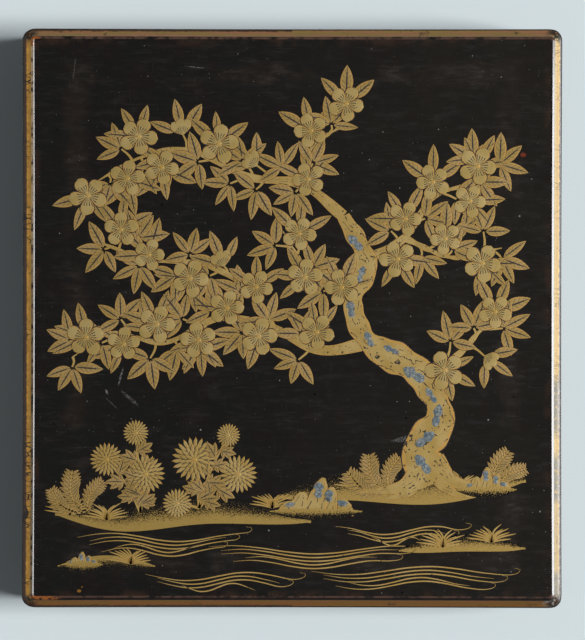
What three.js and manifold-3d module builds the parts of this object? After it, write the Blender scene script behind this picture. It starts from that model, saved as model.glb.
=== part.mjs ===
// A lacquered writing box: a lid with a bevelled rim that covers a low body, a baseboard that holds
// an inkstone and a round water dropper, and two lift-out trays with brushes and tools.
// Millimetres, +Z up, +Y towards the back of the box, origin under the middle of the body.
import * as THREE from "three";
import { mergeVertices } from "three/addons/utils/BufferGeometryUtils.js";
import Module from "manifold-3d";

// Driving dimensions
const LID_WIDTH = 222;
const LID_LENGTH = 238;
const LID_RADIUS = 5.5;
const LID_WALL = 4;
const SKIRT_BOTTOM = 9;
const BODY_TOP = 41;
const RIM_TOP = 46;
const BODY_GAP = 0.5;
const BODY_WALL = 4.5;
const BODY_RADIUS = 2;
const FLOOR_THICK = 4;

// Bevelled rim of the lid, measured inwards from its outside face
const RIM = {
  roundFrom: 43,
  roundWidth: 1,
  roundTop: 43.75,
  bevelWidth: 2.75,
  bevelTop: 45.25,
  ridgeStep: 0.125,
  ridgeOuter: 0.625,
  ridgeCrest: 0.125,
  ridgeInner: 0.375,
  panelTop: 45.5,
};

// Baseboard and what stands in its two openings
const BOARD = { gap: 0.5, bottom: 12, top: 17, radius: 1.5, batten: 8, battenLength: 200, battenX: 70 };
const STONE = { width: 64, length: 110, height: 18, y: -36, radius: 7, rim: 5, gap: 1 };
const DROPPER = { radius: 22, height: 16, wall: 1.25, y: 66, dome: 1.5, gap: 1, hole: 1.5 };

// Lift-out trays
const TRAY = { width: 63, gap: 0.5, height: 21, floor: 3, wall: 3, radius: 2.5 };
const REST = { frontY: -66, backY: 18, thick: 8, height: 8, gap: 0.25, notch: 5 };

// Writing tools
const BRUSH = { radius: 4.5, offset: 13, from: -98, handle: 154, collar: 9, tuft: 32 };
const BAMBOO_KNOTS = [18, 74, 132];
const INK_STICK = { width: 20, length: 66, height: 9, x: -87, y: 60 };
const KNIFE = { width: 12, height: 7, x: -54, from: -92, handle: 118, collar: 5, blade: 56 };
const AWL = { radius: 4.5, x: -70, from: -92, handle: 118, collar: 6, point: 54 };

const CORNER_STEPS = 8;
const ROUND_SIDES = 32;
const HANDLE_SIDES = 20;

// Derived sizes
const BODY_WIDTH = LID_WIDTH - 2 * (LID_WALL + BODY_GAP);
const BODY_LENGTH = LID_LENGTH - 2 * (LID_WALL + BODY_GAP);
const INSIDE_WIDTH = BODY_WIDTH - 2 * BODY_WALL;
const INSIDE_LENGTH = BODY_LENGTH - 2 * BODY_WALL;
const TRAY_LENGTH = INSIDE_LENGTH - 2 * TRAY.gap;
const TRAY_X = INSIDE_WIDTH / 2 - TRAY.gap - TRAY.width / 2;
const TRAY_FLOOR_TOP = BOARD.top + TRAY.floor;
const NOTCH_BOTTOM = TRAY_FLOOR_TOP + REST.height - REST.notch;

// Materials
const finish = (color, roughness, metalness = 0) =>
  new THREE.MeshStandardMaterial({ color, roughness, metalness });
const BLACK_LACQUER = finish(0x1b1817, 0.22);
const RED_LACQUER = finish(0x4a1710, 0.3);
const SLATE = finish(0x2e3134, 0.6);
const GILT_COPPER = finish(0xa97b3a, 0.35, 0.9);
const BAMBOO = finish(0xb08a50, 0.5);
const HORN = finish(0x2a1c14, 0.35);
const HAIR = finish(0xd9cdb4, 0.8);
const INK = finish(0x141416, 0.5);
const STEEL = finish(0x8f9296, 0.3, 1);

// Booleans
const wasm = await Module();
wasm.setup();

function toSolid(geometry) {
  const bare = new THREE.BufferGeometry();
  bare.setAttribute("position", geometry.getAttribute("position"));
  bare.setIndex(geometry.getIndex());
  const merged = mergeVertices(bare, 1e-4);
  return new wasm.Manifold(
    new wasm.Mesh({
      numProp: 3,
      vertProperties: merged.getAttribute("position").array,
      triVerts: new Uint32Array(merged.getIndex().array),
    }),
  );
}

function toGeometry(solid) {
  const mesh = solid.getMesh();
  const geometry = new THREE.BufferGeometry();
  geometry.setAttribute("position", new THREE.BufferAttribute(mesh.vertProperties, mesh.numProp));
  geometry.setIndex(new THREE.BufferAttribute(mesh.triVerts, 1));
  return shaded(geometry);
}

function shaded(geometry) {
  const faceted = geometry.index ? geometry.toNonIndexed() : geometry;
  faceted.computeVertexNormals();
  return faceted;
}

const cut = (geometry, ...tools) =>
  toGeometry(tools.reduce((solid, tool) => solid.subtract(toSolid(tool)), toSolid(geometry)));
const join = (geometry, ...others) =>
  toGeometry(others.reduce((solid, other) => solid.add(toSolid(other)), toSolid(geometry)));
const overlap = (a, b) => toGeometry(toSolid(a).intersect(toSolid(b)));

// A closed skin over sections with equal counts of points. flat is the first section's outline in
// its own plane, running anticlockwise as seen from the side that the sections go towards.
function loft(sections, flat) {
  const count = sections[0].length;
  const last = (sections.length - 1) * count;
  const faces = [];
  for (let s = 0; s < last; s += count) {
    for (let i = 0; i < count; i++) {
      const next = (i + 1) % count;
      faces.push(s + i, s + next, s + count + next);
      faces.push(s + i, s + count + next, s + count + i);
    }
  }
  for (const [a, b, c] of THREE.ShapeUtils.triangulateShape([...flat], [])) {
    faces.push(a, c, b);
    faces.push(last + a, last + b, last + c);
  }
  const geometry = new THREE.BufferGeometry().setFromPoints(sections.flat());
  geometry.setIndex(faces);
  return shaded(geometry);
}

// Points round a rounded rectangle, anticlockwise from where its front meets the front right corner
function roundedRing(width, length, radius, z) {
  const ring = [];
  [[1, -1], [1, 1], [-1, 1], [-1, -1]].forEach(([sideX, sideY], corner) => {
    const x = sideX * (width / 2 - radius);
    const y = sideY * (length / 2 - radius);
    for (let step = 0; step <= CORNER_STEPS; step++) {
      const angle = ((corner - 1 + step / CORNER_STEPS) * Math.PI) / 2;
      ring.push(new THREE.Vector3(x + radius * Math.cos(angle), y + radius * Math.sin(angle), z));
    }
  });
  return ring;
}

const LEAST_RADIUS = 0.5;
const insetRing = (size, [inset, z]) =>
  roundedRing(
    size.width - 2 * inset,
    size.length - 2 * inset,
    Math.max(size.radius - inset, LEAST_RADIUS),
    z,
  );

// A board with rounded corners whose edge has the given profile of [inset, height] points
function board(size, profile) {
  const sections = profile.map((point) => insetRing(size, point));
  return loft(sections, sections[0].map((p) => new THREE.Vector2(p.x, p.y)));
}

// One of the four mitred boards of a frame. The profile runs up the outside and down the inside,
// and corner is the corner where the board begins: 0 right, 1 back, 2 left, 3 front.
function frameBoard(size, profile, corner) {
  const outline = [...profile].reverse();
  const rings = outline.map((point) => insetRing(size, point));
  const perCorner = CORNER_STEPS + 1;
  const start = corner * perCorner + CORNER_STEPS / 2;
  const sections = [];
  for (let k = 0; k <= perCorner; k++) {
    sections.push(rings.map((ring) => ring[(start + k) % ring.length]));
  }
  return loft(sections, outline.map(([inset, z]) => new THREE.Vector2(inset, z)));
}

const SIDES = ["right", "back", "left", "front"];

// Quarter round from one profile point to another, bulging towards the corner between them
function quarter([x0, z0], [x1, z1], steps = 3) {
  const points = [];
  for (let k = 0; k <= steps; k++) {
    const t = ((k / steps) * Math.PI) / 2;
    points.push(
      x1 > x0 === z1 > z0
        ? [x1 - (x1 - x0) * Math.cos(t), z0 + (z1 - z0) * Math.sin(t)]
        : [x0 + (x1 - x0) * Math.sin(t), z1 - (z1 - z0) * Math.cos(t)],
    );
  }
  return points;
}

// Wall section with both top edges rounded, and both bottom edges too if foot is above 0
function wallProfile(thick, bottom, top, round, foot = 0) {
  const low = foot
    ? [...quarter([thick, bottom + foot], [thick - foot, bottom], 2),
       ...quarter([foot, bottom], [0, bottom + foot], 2)]
    : [[thick, bottom], [0, bottom]];
  return [
    ...low,
    ...(round ? quarter([0, top - round], [round, top]) : [[0, top]]),
    ...(round ? quarter([thick - round, top], [thick, top - round]) : [[thick, top]]),
  ];
}

// A solid of revolution standing on Z. The profile of [radius, height] points runs up the outside.
function turned(profile, sides) {
  const points = profile.map(([r, z]) => new THREE.Vector2(r, z));
  return new THREE.LatheGeometry(points, sides).rotateX(Math.PI / 2);
}

const prism = (shape, depth, options = {}) =>
  new THREE.ExtrudeGeometry(shape, { depth, bevelEnabled: false, ...options });

const model = new THREE.Group();

function place(parent, name, geometry, material, x = 0, y = 0, z = 0) {
  const mesh = new THREE.Mesh(geometry, material);
  mesh.name = name;
  mesh.position.set(x, y, z);
  parent.add(mesh);
}

// Lid

// Outside face, rounded shoulder, gilt bevel and the low two-sided ridge round the sunk panel
function lidEdge() {
  const bevelFrom = RIM.roundWidth;
  const bevelTo = bevelFrom + RIM.bevelWidth;
  const crestFrom = bevelTo + RIM.ridgeStep + RIM.ridgeOuter;
  const crestTo = crestFrom + RIM.ridgeCrest;
  return [
    [0, BODY_TOP],
    ...quarter([0, RIM.roundFrom], [bevelFrom, RIM.roundTop]),
    [bevelTo, RIM.bevelTop],
    [bevelTo + RIM.ridgeStep, RIM.panelTop],
    [crestFrom, RIM_TOP],
    [crestTo, RIM_TOP],
    [crestTo + RIM.ridgeInner, RIM.panelTop],
  ];
}

function buildLid() {
  const size = { width: LID_WIDTH, length: LID_LENGTH, radius: LID_RADIUS };
  place(model, "lid_panel", board(size, lidEdge()), BLACK_LACQUER);
  const wall = wallProfile(LID_WALL, SKIRT_BOTTOM, BODY_TOP, 0, 1.25);
  SIDES.forEach((side, corner) =>
    place(model, `lid_${side}_wall`, frameBoard(size, wall, corner), BLACK_LACQUER),
  );
}

// Body

function buildBody() {
  const size = { width: BODY_WIDTH, length: BODY_LENGTH, radius: BODY_RADIUS };
  const chamfer = 0.75;
  place(
    model,
    "body_floor",
    board(size, [[chamfer, 0], [0, chamfer], [0, FLOOR_THICK]]),
    BLACK_LACQUER,
  );
  const wall = wallProfile(BODY_WALL, FLOOR_THICK, BODY_TOP, 1);
  SIDES.forEach((side, corner) =>
    place(model, `body_${side}_wall`, frameBoard(size, wall, corner), BLACK_LACQUER),
  );
}

// Baseboard

function buildBaseboard() {
  const size = {
    width: INSIDE_WIDTH - 2 * BOARD.gap,
    length: INSIDE_LENGTH - 2 * BOARD.gap,
    radius: BOARD.radius,
  };
  const chamfer = 0.75;
  const through = 1;
  const plain = board(size, [[0, BOARD.bottom], [0, BOARD.top - chamfer], [chamfer, BOARD.top]]);
  const opening = {
    width: STONE.width + 2 * STONE.gap,
    length: STONE.length + 2 * STONE.gap,
    radius: STONE.radius + STONE.gap,
  };
  const stoneOpening = board(opening, [
    [0, BOARD.bottom - through],
    [0, BOARD.top - chamfer],
    [-chamfer - through, BOARD.top + through],
  ]).translate(0, STONE.y, 0);
  const r = DROPPER.radius + DROPPER.gap;
  const dropperOpening = turned(
    [
      [0, BOARD.bottom - through],
      [r, BOARD.bottom - through],
      [r, BOARD.top - chamfer],
      [r + chamfer + through, BOARD.top + through],
      [0, BOARD.top + through],
    ],
    ROUND_SIDES,
  ).translate(0, DROPPER.y, 0);
  place(model, "baseboard", cut(plain, stoneOpening, dropperOpening), BLACK_LACQUER);
  const batten = { width: BOARD.batten, length: BOARD.battenLength, radius: 1 };
  const height = [[0.5, FLOOR_THICK], [0, FLOOR_THICK + 0.5], [0, BOARD.bottom]];
  place(model, "baseboard_left_batten", board(batten, height), BLACK_LACQUER, -BOARD.battenX);
  place(model, "baseboard_right_batten", board(batten, height), BLACK_LACQUER, BOARD.battenX);
}

// Inkstone: a slab with a flat grinding land that curves down into a deep well at the back

function inkHollow() {
  const top = STONE.height;
  const front = -STONE.length / 2 + STONE.rim;
  const back = STONE.length / 2 - STONE.rim;
  const side = new THREE.Shape();
  side.moveTo(front - 1, top + 3);
  side.lineTo(front - 1, top - 2);
  side.lineTo(front + 2, top - 2.5);
  side.lineTo(12, top - 3.5);
  side.bezierCurveTo(24, top - 4, 26, top - 11, 38, top - 11);
  side.quadraticCurveTo(back - 3, top - 11, back + 1, top - 4);
  side.lineTo(back + 1, top + 3);
  const width = STONE.width - 2 * STONE.rim;
  const long = prism(side, width, { curveSegments: 8 })
    .rotateZ(Math.PI / 2)
    .rotateY(Math.PI / 2)
    .translate(-width / 2, 0, 0);
  const draft = 2;
  const mouth = { width, length: back - front, radius: STONE.radius - 1.5 };
  const bowl = board(mouth, [[draft + 1.5, top - 12], [draft, top - 8], [0, top - 0.75], [-1.25, top + 2]]);
  return overlap(long, bowl);
}

function buildInkstone() {
  const round = 1.5;
  const slab = board({ width: STONE.width, length: STONE.length, radius: STONE.radius }, [
    [0.75, 0],
    [0, 0.75],
    ...quarter([0, STONE.height - round], [round, STONE.height]),
  ]);
  place(model, "inkstone", cut(slab, inkHollow()), SLATE, 0, STONE.y, FLOOR_THICK);
}

// Water dropper: a round copper cup closed by a domed plate with a water hole and an air hole

function buildDropper() {
  const { radius, height, wall, dome, hole } = DROPPER;
  const round = 2.5;
  const arc = quarter([radius, round], [radius - round, 0], 4).reverse();
  const inner = radius - wall;
  const cup = turned(
    [[0, 0], ...arc, [radius, height], [inner, height], [inner, round], [inner - 1, wall], [0, wall]],
    ROUND_SIDES,
  );
  place(model, "dropper_cup", cup, GILT_COPPER, 0, DROPPER.y, FLOOR_THICK);

  const plate = turned(
    [
      [0, 0.25],
      [inner - 0.5, -0.75],
      [inner - 0.25, 0],
      [radius, 0],
      [radius, 0.5],
      [radius - 0.75, wall],
      [radius * 0.6, wall + dome * 0.75],
      [0, wall + dome],
    ],
    ROUND_SIDES,
  );
  const holeAt = (x, y, low) => {
    const rise = low + 0.75;
    const collar = turned([[0, 0.5], [hole + 1.5, 0.5], [hole + 1.5, rise - 0.25],
      [hole + 1, rise], [0, rise]], 16).translate(x, y, 0);
    const drill = turned([[0, -3], [hole, -3], [hole, rise + 1], [0, rise + 1]], 12).translate(x, y, 0);
    return { collar, drill };
  };
  const water = holeAt(0, 0, wall + dome);
  const air = holeAt(0, radius * 0.62, wall + dome * 0.75);
  const top = cut(join(plate, water.collar, air.collar), water.drill, air.drill);
  place(model, "dropper_plate", top, GILT_COPPER, 0, DROPPER.y, FLOOR_THICK + height);
}

// Trays

function notchedRest(notches) {
  const width = TRAY.width - 2 * (TRAY.wall + REST.gap);
  const face = new THREE.Shape();
  face.moveTo(-width / 2, 0);
  face.lineTo(width / 2, 0);
  face.lineTo(width / 2, REST.height);
  [...notches]
    .sort((a, b) => b.x - a.x)
    .forEach(({ x, flat }) => {
      if (flat) {
        const half = flat / 2;
        face.lineTo(x + half, REST.height);
        face.lineTo(x + half, REST.height - REST.notch);
        face.lineTo(x - half, REST.height - REST.notch);
        face.lineTo(x - half, REST.height);
      } else {
        face.lineTo(x + REST.notch, REST.height);
        face.absarc(x, REST.height, REST.notch, 0, -Math.PI, true);
      }
    });
  face.lineTo(-width / 2, REST.height);
  return prism(face, REST.thick, { curveSegments: 6 })
    .rotateX(Math.PI / 2)
    .translate(0, REST.thick / 2, 0);
}

function buildTray(name, x, notches) {
  const size = { width: TRAY.width, length: TRAY_LENGTH, radius: TRAY.radius };
  const tray = new THREE.Group();
  tray.position.x = x;
  model.add(tray);
  const chamfer = 0.5;
  const floor = board(size, [
    [chamfer, BOARD.top],
    [0, BOARD.top + chamfer],
    [0, TRAY_FLOOR_TOP],
  ]);
  place(tray, `${name}_tray_floor`, floor, BLACK_LACQUER);
  const wall = wallProfile(TRAY.wall, TRAY_FLOOR_TOP, BOARD.top + TRAY.height, 0.75);
  SIDES.forEach((side, corner) =>
    place(tray, `${name}_tray_${side}_wall`, frameBoard(size, wall, corner), BLACK_LACQUER),
  );
  const rest = notchedRest(notches);
  place(tray, `${name}_tray_front_rest`, rest, BLACK_LACQUER, 0, REST.frontY, TRAY_FLOOR_TOP);
  place(tray, `${name}_tray_back_rest`, rest, BLACK_LACQUER, 0, REST.backY, TRAY_FLOOR_TOP);
}

// Tools that lie along Y: each is turned about its own axis, from its front end backwards

const lying = (profile, sides) => turned(profile, sides).rotateX(-Math.PI / 2).rotateY(Math.PI);

// The ring where a joint of the bamboo ends and the narrow groove where the next begins
const bambooKnot = (radius, at) => [
  [radius, at - 1.5], [radius + 0.2, at - 0.5], [radius + 0.2, at],
  [radius - 0.25, at + 0.25], [radius - 0.25, at + 0.75], [radius, at + 1.5],
];

function buildBrush(number, x) {
  const { radius, from, handle, collar, tuft } = BRUSH;
  const z = NOTCH_BOTTOM + radius;
  const end = 3;
  const handleShape = lying(
    [[0, 0], [1.5, 0.25], [radius - 1, 1.25], [radius - 0.5, end], [radius, end + 1],
     ...BAMBOO_KNOTS.flatMap((at) => bambooKnot(radius, at)),
     [radius, handle - 0.5], [radius - 0.5, handle], [0, handle]],
    HANDLE_SIDES,
  );
  place(model, `brush_${number}_handle`, handleShape, BAMBOO, x, from, z);
  const neck = radius - 0.5;
  const collarShape = lying(
    [[0, 0], [neck, 0], [neck, 1], [neck - 0.25, 1.5], [neck - 0.25, collar - 2], [neck, collar - 1.25],
     [neck, collar], [0, collar]],
    HANDLE_SIDES,
  );
  place(model, `brush_${number}_collar`, collarShape, HORN, x, from + handle, z);
  const belly = [];
  const steps = 9;
  for (let k = 0; k <= steps; k++) {
    const t = k / steps;
    belly.push([(neck - 0.75) * Math.pow(1 - t, 0.75) * (1 + 0.75 * t), t * tuft]);
  }
  belly[steps][0] = 0;
  place(model, `brush_${number}_tuft`, lying([[0, 0], ...belly], 16), HAIR, x, from + handle + collar, z);
}

function buildInkStick() {
  const { width, length, height, x, y } = INK_STICK;
  const round = 1;
  const stick = board({ width, length, radius: 3 }, [
    ...quarter([round, 0], [0, round], 2),
    ...quarter([0, height - round], [round, height], 2),
    [2, height],
    [2.5, height - 0.5],
  ]);
  place(model, "ink_stick", stick, INK, x, y, TRAY_FLOOR_TOP);
}

// A bar of rounded rectangular section lying along Y, with its ends eased
function flatBar(width, height, length, radius, ease) {
  return board({ width, length: height, radius }, [
    [ease, 0],
    [0, ease],
    [0, length - ease],
    [ease, length],
  ]).rotateX(-Math.PI / 2);
}

function buildKnife() {
  const { width, height, x, from, handle, collar, blade } = KNIFE;
  const z = NOTCH_BOTTOM + height / 2;
  place(model, "knife_handle", flatBar(width, height, handle, 2, 0.75), RED_LACQUER, x, from, z);
  const ring = flatBar(width - 1, height - 1, collar, 2, 0.25);
  place(model, "knife_collar", ring, GILT_COPPER, x, from + handle, z);
  const edge = new THREE.Shape();
  const half = (width - 2) / 2;
  edge.moveTo(-half, 0);
  edge.lineTo(half, 0);
  edge.lineTo(half, blade - 16);
  edge.quadraticCurveTo(half - 1, blade - 5, -half, blade);
  const steel = prism(edge, 1, { curveSegments: 6, bevelEnabled: true, bevelThickness: 0.5,
    bevelSize: 0.5, bevelOffset: -0.5, bevelSegments: 1 }).translate(0, 0, -0.5);
  const root = new THREE.BoxGeometry(width, 2, 4).translate(0, -1, 0);
  place(model, "knife_blade", cut(steel, root), STEEL, x, from + handle + collar, z);
}

function buildAwl() {
  const { radius, x, from, handle, collar, point } = AWL;
  const z = NOTCH_BOTTOM + radius;
  const grip = lying(
    [[0, 0], [2, 0.25], [radius - 1, 1.5], [radius, 4], [radius, handle - 3], [radius - 1, handle], [0, handle]],
    HANDLE_SIDES,
  );
  place(model, "awl_handle", grip, RED_LACQUER, x, from, z);
  const neck = radius - 1.5;
  const ring = lying([[0, 0], [neck, 0], [neck, collar - 1], [neck - 1, collar], [0, collar]], HANDLE_SIDES);
  place(model, "awl_collar", ring, GILT_COPPER, x, from + handle, z);
  const shank = lying([[0, 0], [1.5, 0], [1.5, point * 0.5], [0.25, point - 1], [0, point]], 12);
  place(model, "awl_point", shank, STEEL, x, from + handle + collar, z);
}

buildBody();
buildBaseboard();
buildInkstone();
buildDropper();
buildTray("right", TRAY_X, [{ x: -BRUSH.offset }, { x: BRUSH.offset }]);
buildTray("left", -TRAY_X, [{ x: KNIFE.x + TRAY_X, flat: KNIFE.width + 0.5 }, { x: AWL.x + TRAY_X }]);
buildBrush(1, TRAY_X - BRUSH.offset);
buildBrush(2, TRAY_X + BRUSH.offset);
buildInkStick();
buildKnife();
buildAwl();
buildLid();

export default model;
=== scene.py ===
import functools
import math
import random

import bmesh
import bpy
from mathutils import Matrix, Vector


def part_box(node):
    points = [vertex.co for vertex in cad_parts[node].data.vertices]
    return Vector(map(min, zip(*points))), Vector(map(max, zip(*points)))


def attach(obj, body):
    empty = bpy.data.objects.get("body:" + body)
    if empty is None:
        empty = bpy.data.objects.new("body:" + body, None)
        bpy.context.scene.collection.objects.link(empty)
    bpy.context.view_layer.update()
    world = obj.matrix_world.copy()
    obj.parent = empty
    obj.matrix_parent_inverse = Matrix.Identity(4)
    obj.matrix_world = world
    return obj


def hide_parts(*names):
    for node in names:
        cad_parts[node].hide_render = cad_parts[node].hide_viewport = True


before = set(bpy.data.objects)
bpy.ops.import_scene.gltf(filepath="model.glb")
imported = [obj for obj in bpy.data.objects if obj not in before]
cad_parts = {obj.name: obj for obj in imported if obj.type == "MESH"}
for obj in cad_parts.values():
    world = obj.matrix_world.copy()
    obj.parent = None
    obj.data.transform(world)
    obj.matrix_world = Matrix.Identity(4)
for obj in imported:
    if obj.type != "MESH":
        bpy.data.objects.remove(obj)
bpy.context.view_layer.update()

# A lacquered writing box seen from above: black lid with a worn gold bevel and a picture in gold
# and shell, and inside it an inkstone, a water dropper and two trays of writing tools.
# Shapes are made in millimetres and become metres when a piece is finished.

MM = 0.001
TURN = 2 * math.pi
chance = random.Random(11)


def box_mm(node):
    low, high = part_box(node)
    return low / MM, high / MM


# Shader tools


class Wire:
    """A socket in a finish; arithmetic on it adds Math nodes."""

    def __init__(self, finish, socket):
        self.finish = finish
        self.socket = socket

    def math(self, operation, *others):
        return self.finish.node("Math", dict(operation=operation), dict(enumerate((self, *others))))

    def __add__(self, other):
        return self.math("ADD", other)

    def __sub__(self, other):
        return self.math("SUBTRACT", other)

    def __rsub__(self, other):
        return self * -1 + other

    def __mul__(self, other):
        return self.math("MULTIPLY", other)

    def __lt__(self, other):
        return self.math("LESS_THAN", other)

    def __gt__(self, other):
        return self.math("GREATER_THAN", other)

    def __abs__(self):
        return self.math("ABSOLUTE")

    __radd__ = __add__
    __rmul__ = __mul__

    def cycle(self):
        return self.math("FRACT")

    def either(self, other):
        return self.math("MAXIMUM", other)

    def lesser(self, other):
        return self.math("MINIMUM", other)


def most(*masks):
    """The strongest of several masks at each point."""
    return functools.reduce(Wire.either, masks)


def between(value, low, high):
    return (value > low) * (value < high)


def rgb(red, green, blue):
    return (red, green, blue, 1.0)


class Finish:
    """A material, built from procedural patterns in millimetres of the object's own space."""

    def __init__(self, name, **constants):
        self.material = bpy.data.materials.new(name)
        self.material.use_nodes = True
        self.tree = self.material.node_tree
        self.shader = self.tree.nodes["Principled BSDF"]
        self.feed(**constants)
        space = self.node("TexCoord", output="Object")
        self.at = self.node("Mapping", sockets=dict(Vector=space, Scale=(1 / MM,) * 3))

    def node(self, kind, settings=None, sockets=None, output=0):
        node = self.tree.nodes.new(
            ("ShaderNodeTex" if kind in ("Noise", "Voronoi") else "ShaderNode") + kind)
        for key, value in (settings or {}).items():
            setattr(node, key, value)
        for key, value in (sockets or {}).items():
            self.join(node.inputs[key], value)
        return Wire(self, node.outputs[output])

    def join(self, socket, value):
        if isinstance(value, Wire):
            self.tree.links.new(value.socket, socket)
        else:
            socket.default_value = value

    def feed(self, **values):
        for name, value in values.items():
            self.join(self.shader.inputs[name.replace("_", " ")], value)

    def done(self, relief=None, depth=0.0, **values):
        """Feeds the shader, with relief of a depth in millimetres, and gives the material."""
        if relief is not None:
            values["Normal"] = self.node("Bump", sockets=dict(
                Strength=1.0, Distance=depth * MM, Height=relief))
        self.feed(**values)
        return self.material

    def split(self, vector=None):
        parts = self.node("SeparateXYZ", sockets=dict(Vector=vector or self.at))
        return [Wire(self, output) for output in parts.socket.node.outputs]

    def along(self):
        """The piece's own UV map: along it, and across it from -1 to 1."""
        return self.split(self.node("TexCoord", output="UV"))[:2]

    def stretched(self, size, stretch=(1, 1, 1), shift=0.0, turn=0.0):
        return self.node("Mapping", sockets=dict(
            Vector=self.at,
            Location=(shift, shift, shift),
            Rotation=(0, 0, turn),
            Scale=tuple(1 / (size * s) for s in stretch),
        ))

    def cloud(self, size, detail=2.0, rough=0.5, **place):
        return self.node("Noise", sockets=dict(
            Vector=self.stretched(size, **place), Scale=1.0, Detail=detail, Roughness=rough))

    def mottle(self, low, high, size, **kind):
        """A cloud, 0 where it is low and 1 where it is high."""
        return self.fade(self.cloud(size, **kind), low, high)

    def dots(self, size, reach, share, **place):
        """Round spots, one to a cell at most: reach is their radius in cells."""
        cells = self.node("Voronoi", sockets=dict(Vector=self.stretched(size, **place), Scale=1.0))
        colour = Wire(self, cells.socket.node.outputs["Color"])
        red = self.node("SeparateColor", sockets=dict(Color=colour))
        return (cells < reach) * (red < share)

    def seams(self, size, **place):
        """How far a point lies from the border between two cells."""
        return self.node("Voronoi", dict(feature="DISTANCE_TO_EDGE"), dict(
            Vector=self.stretched(size, **place), Scale=1.0))

    def fade(self, value, low, high):
        """0 at low, 1 at high, smooth between them."""
        return self.node("MapRange", dict(interpolation_type="SMOOTHSTEP"), {
            "Value": value, "From Min": low, "From Max": high})

    def blend(self, factor, first, second):
        return self.node("Mix", dict(data_type="RGBA"), {0: factor, 6: first, 7: second}, output=2)

    def layered(self, ground, *layers):
        """A ground colour under layers, each with its mask and its colour."""
        for mask, colour in layers:
            ground = self.blend(mask, ground, colour)
        return ground

    def patch(self, x, y, long, wide, turn=0.0, strength=1.0, soft=0.5):
        """A soft oval round a point of the lid."""
        local = self.node("Mapping", dict(vector_type="TEXTURE"), dict(
            Vector=self.at, Location=(x, y, 0), Rotation=(0, 0, turn), Scale=(long, wide, 1e6)))
        reach = self.node("VectorMath", dict(operation="LENGTH"), {0: local}, output="Value")
        return self.fade(reach, 1.0, soft) * strength

    def patches(self, *spots):
        return most(*(self.patch(*spot) for spot in spots))


# Colours, as linear light
BLACK = rgb(0.0085, 0.0075, 0.0070)
BROWN_BLACK = rgb(0.018, 0.013, 0.010)
SCRATCH = rgb(0.055, 0.052, 0.050)
WORN_WOOD = rgb(0.060, 0.032, 0.020)
GOLD = rgb(0.380, 0.250, 0.066)
GOLD_PALE = rgb(0.455, 0.325, 0.120)
GOLD_DULL = rgb(0.210, 0.132, 0.033)
# The colour of highlights painted on the gold work
GOLD_PAINTED_HIGHLIGHT = rgb(0.480, 0.265, 0.055)
LINE = rgb(0.022, 0.014, 0.008)
SHELL_BLUE = rgb(0.135, 0.195, 0.235)
SHELL_GREY = rgb(0.300, 0.330, 0.320)
FLOOR = rgb(0.660, 0.736, 0.762)


def lid_outer_finish():
    """Black lacquer of the lid's sides and shoulder, rubbed brown along its lower edge."""
    finish = Finish("lid_side_lacquer", IOR=1.5)
    x, y, z = finish.split()
    rubbed = finish.fade(z, 12, 9.2) * finish.mottle(0.45, 0.6, 7)
    arris = finish.fade(z, SHOULDER, SHOULDER + 0.6) * finish.mottle(0.40, 0.60, 4, detail=4)
    streaks = finish.mottle(0.62, 0.72, 1.2, stretch=(30, 30, 0.6))
    colour = finish.layered(BLACK, (rubbed, WORN_WOOD), (arris * 0.6, rgb(0.050, 0.034, 0.022)),
                            (streaks * 0.5, SCRATCH))
    roughness = 0.16 + 0.14 * finish.cloud(12)
    return finish.done(finish.cloud(18), 0.05, Base_Color=colour, Roughness=roughness)


def insets(finish, half_width, half_length):
    """How far a point of the lid lies inside its long sides and inside its ends, its bow undone."""
    x, y, z = finish.split()
    along, aside = y * (1 / half_length), x * (1 / half_width)
    from_side = half_width - LID_BOW - abs(x) + LID_BOW * along * along
    from_end = half_length - END_BOW - abs(y) + END_BOW * aside * aside
    return from_side, from_end


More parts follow.
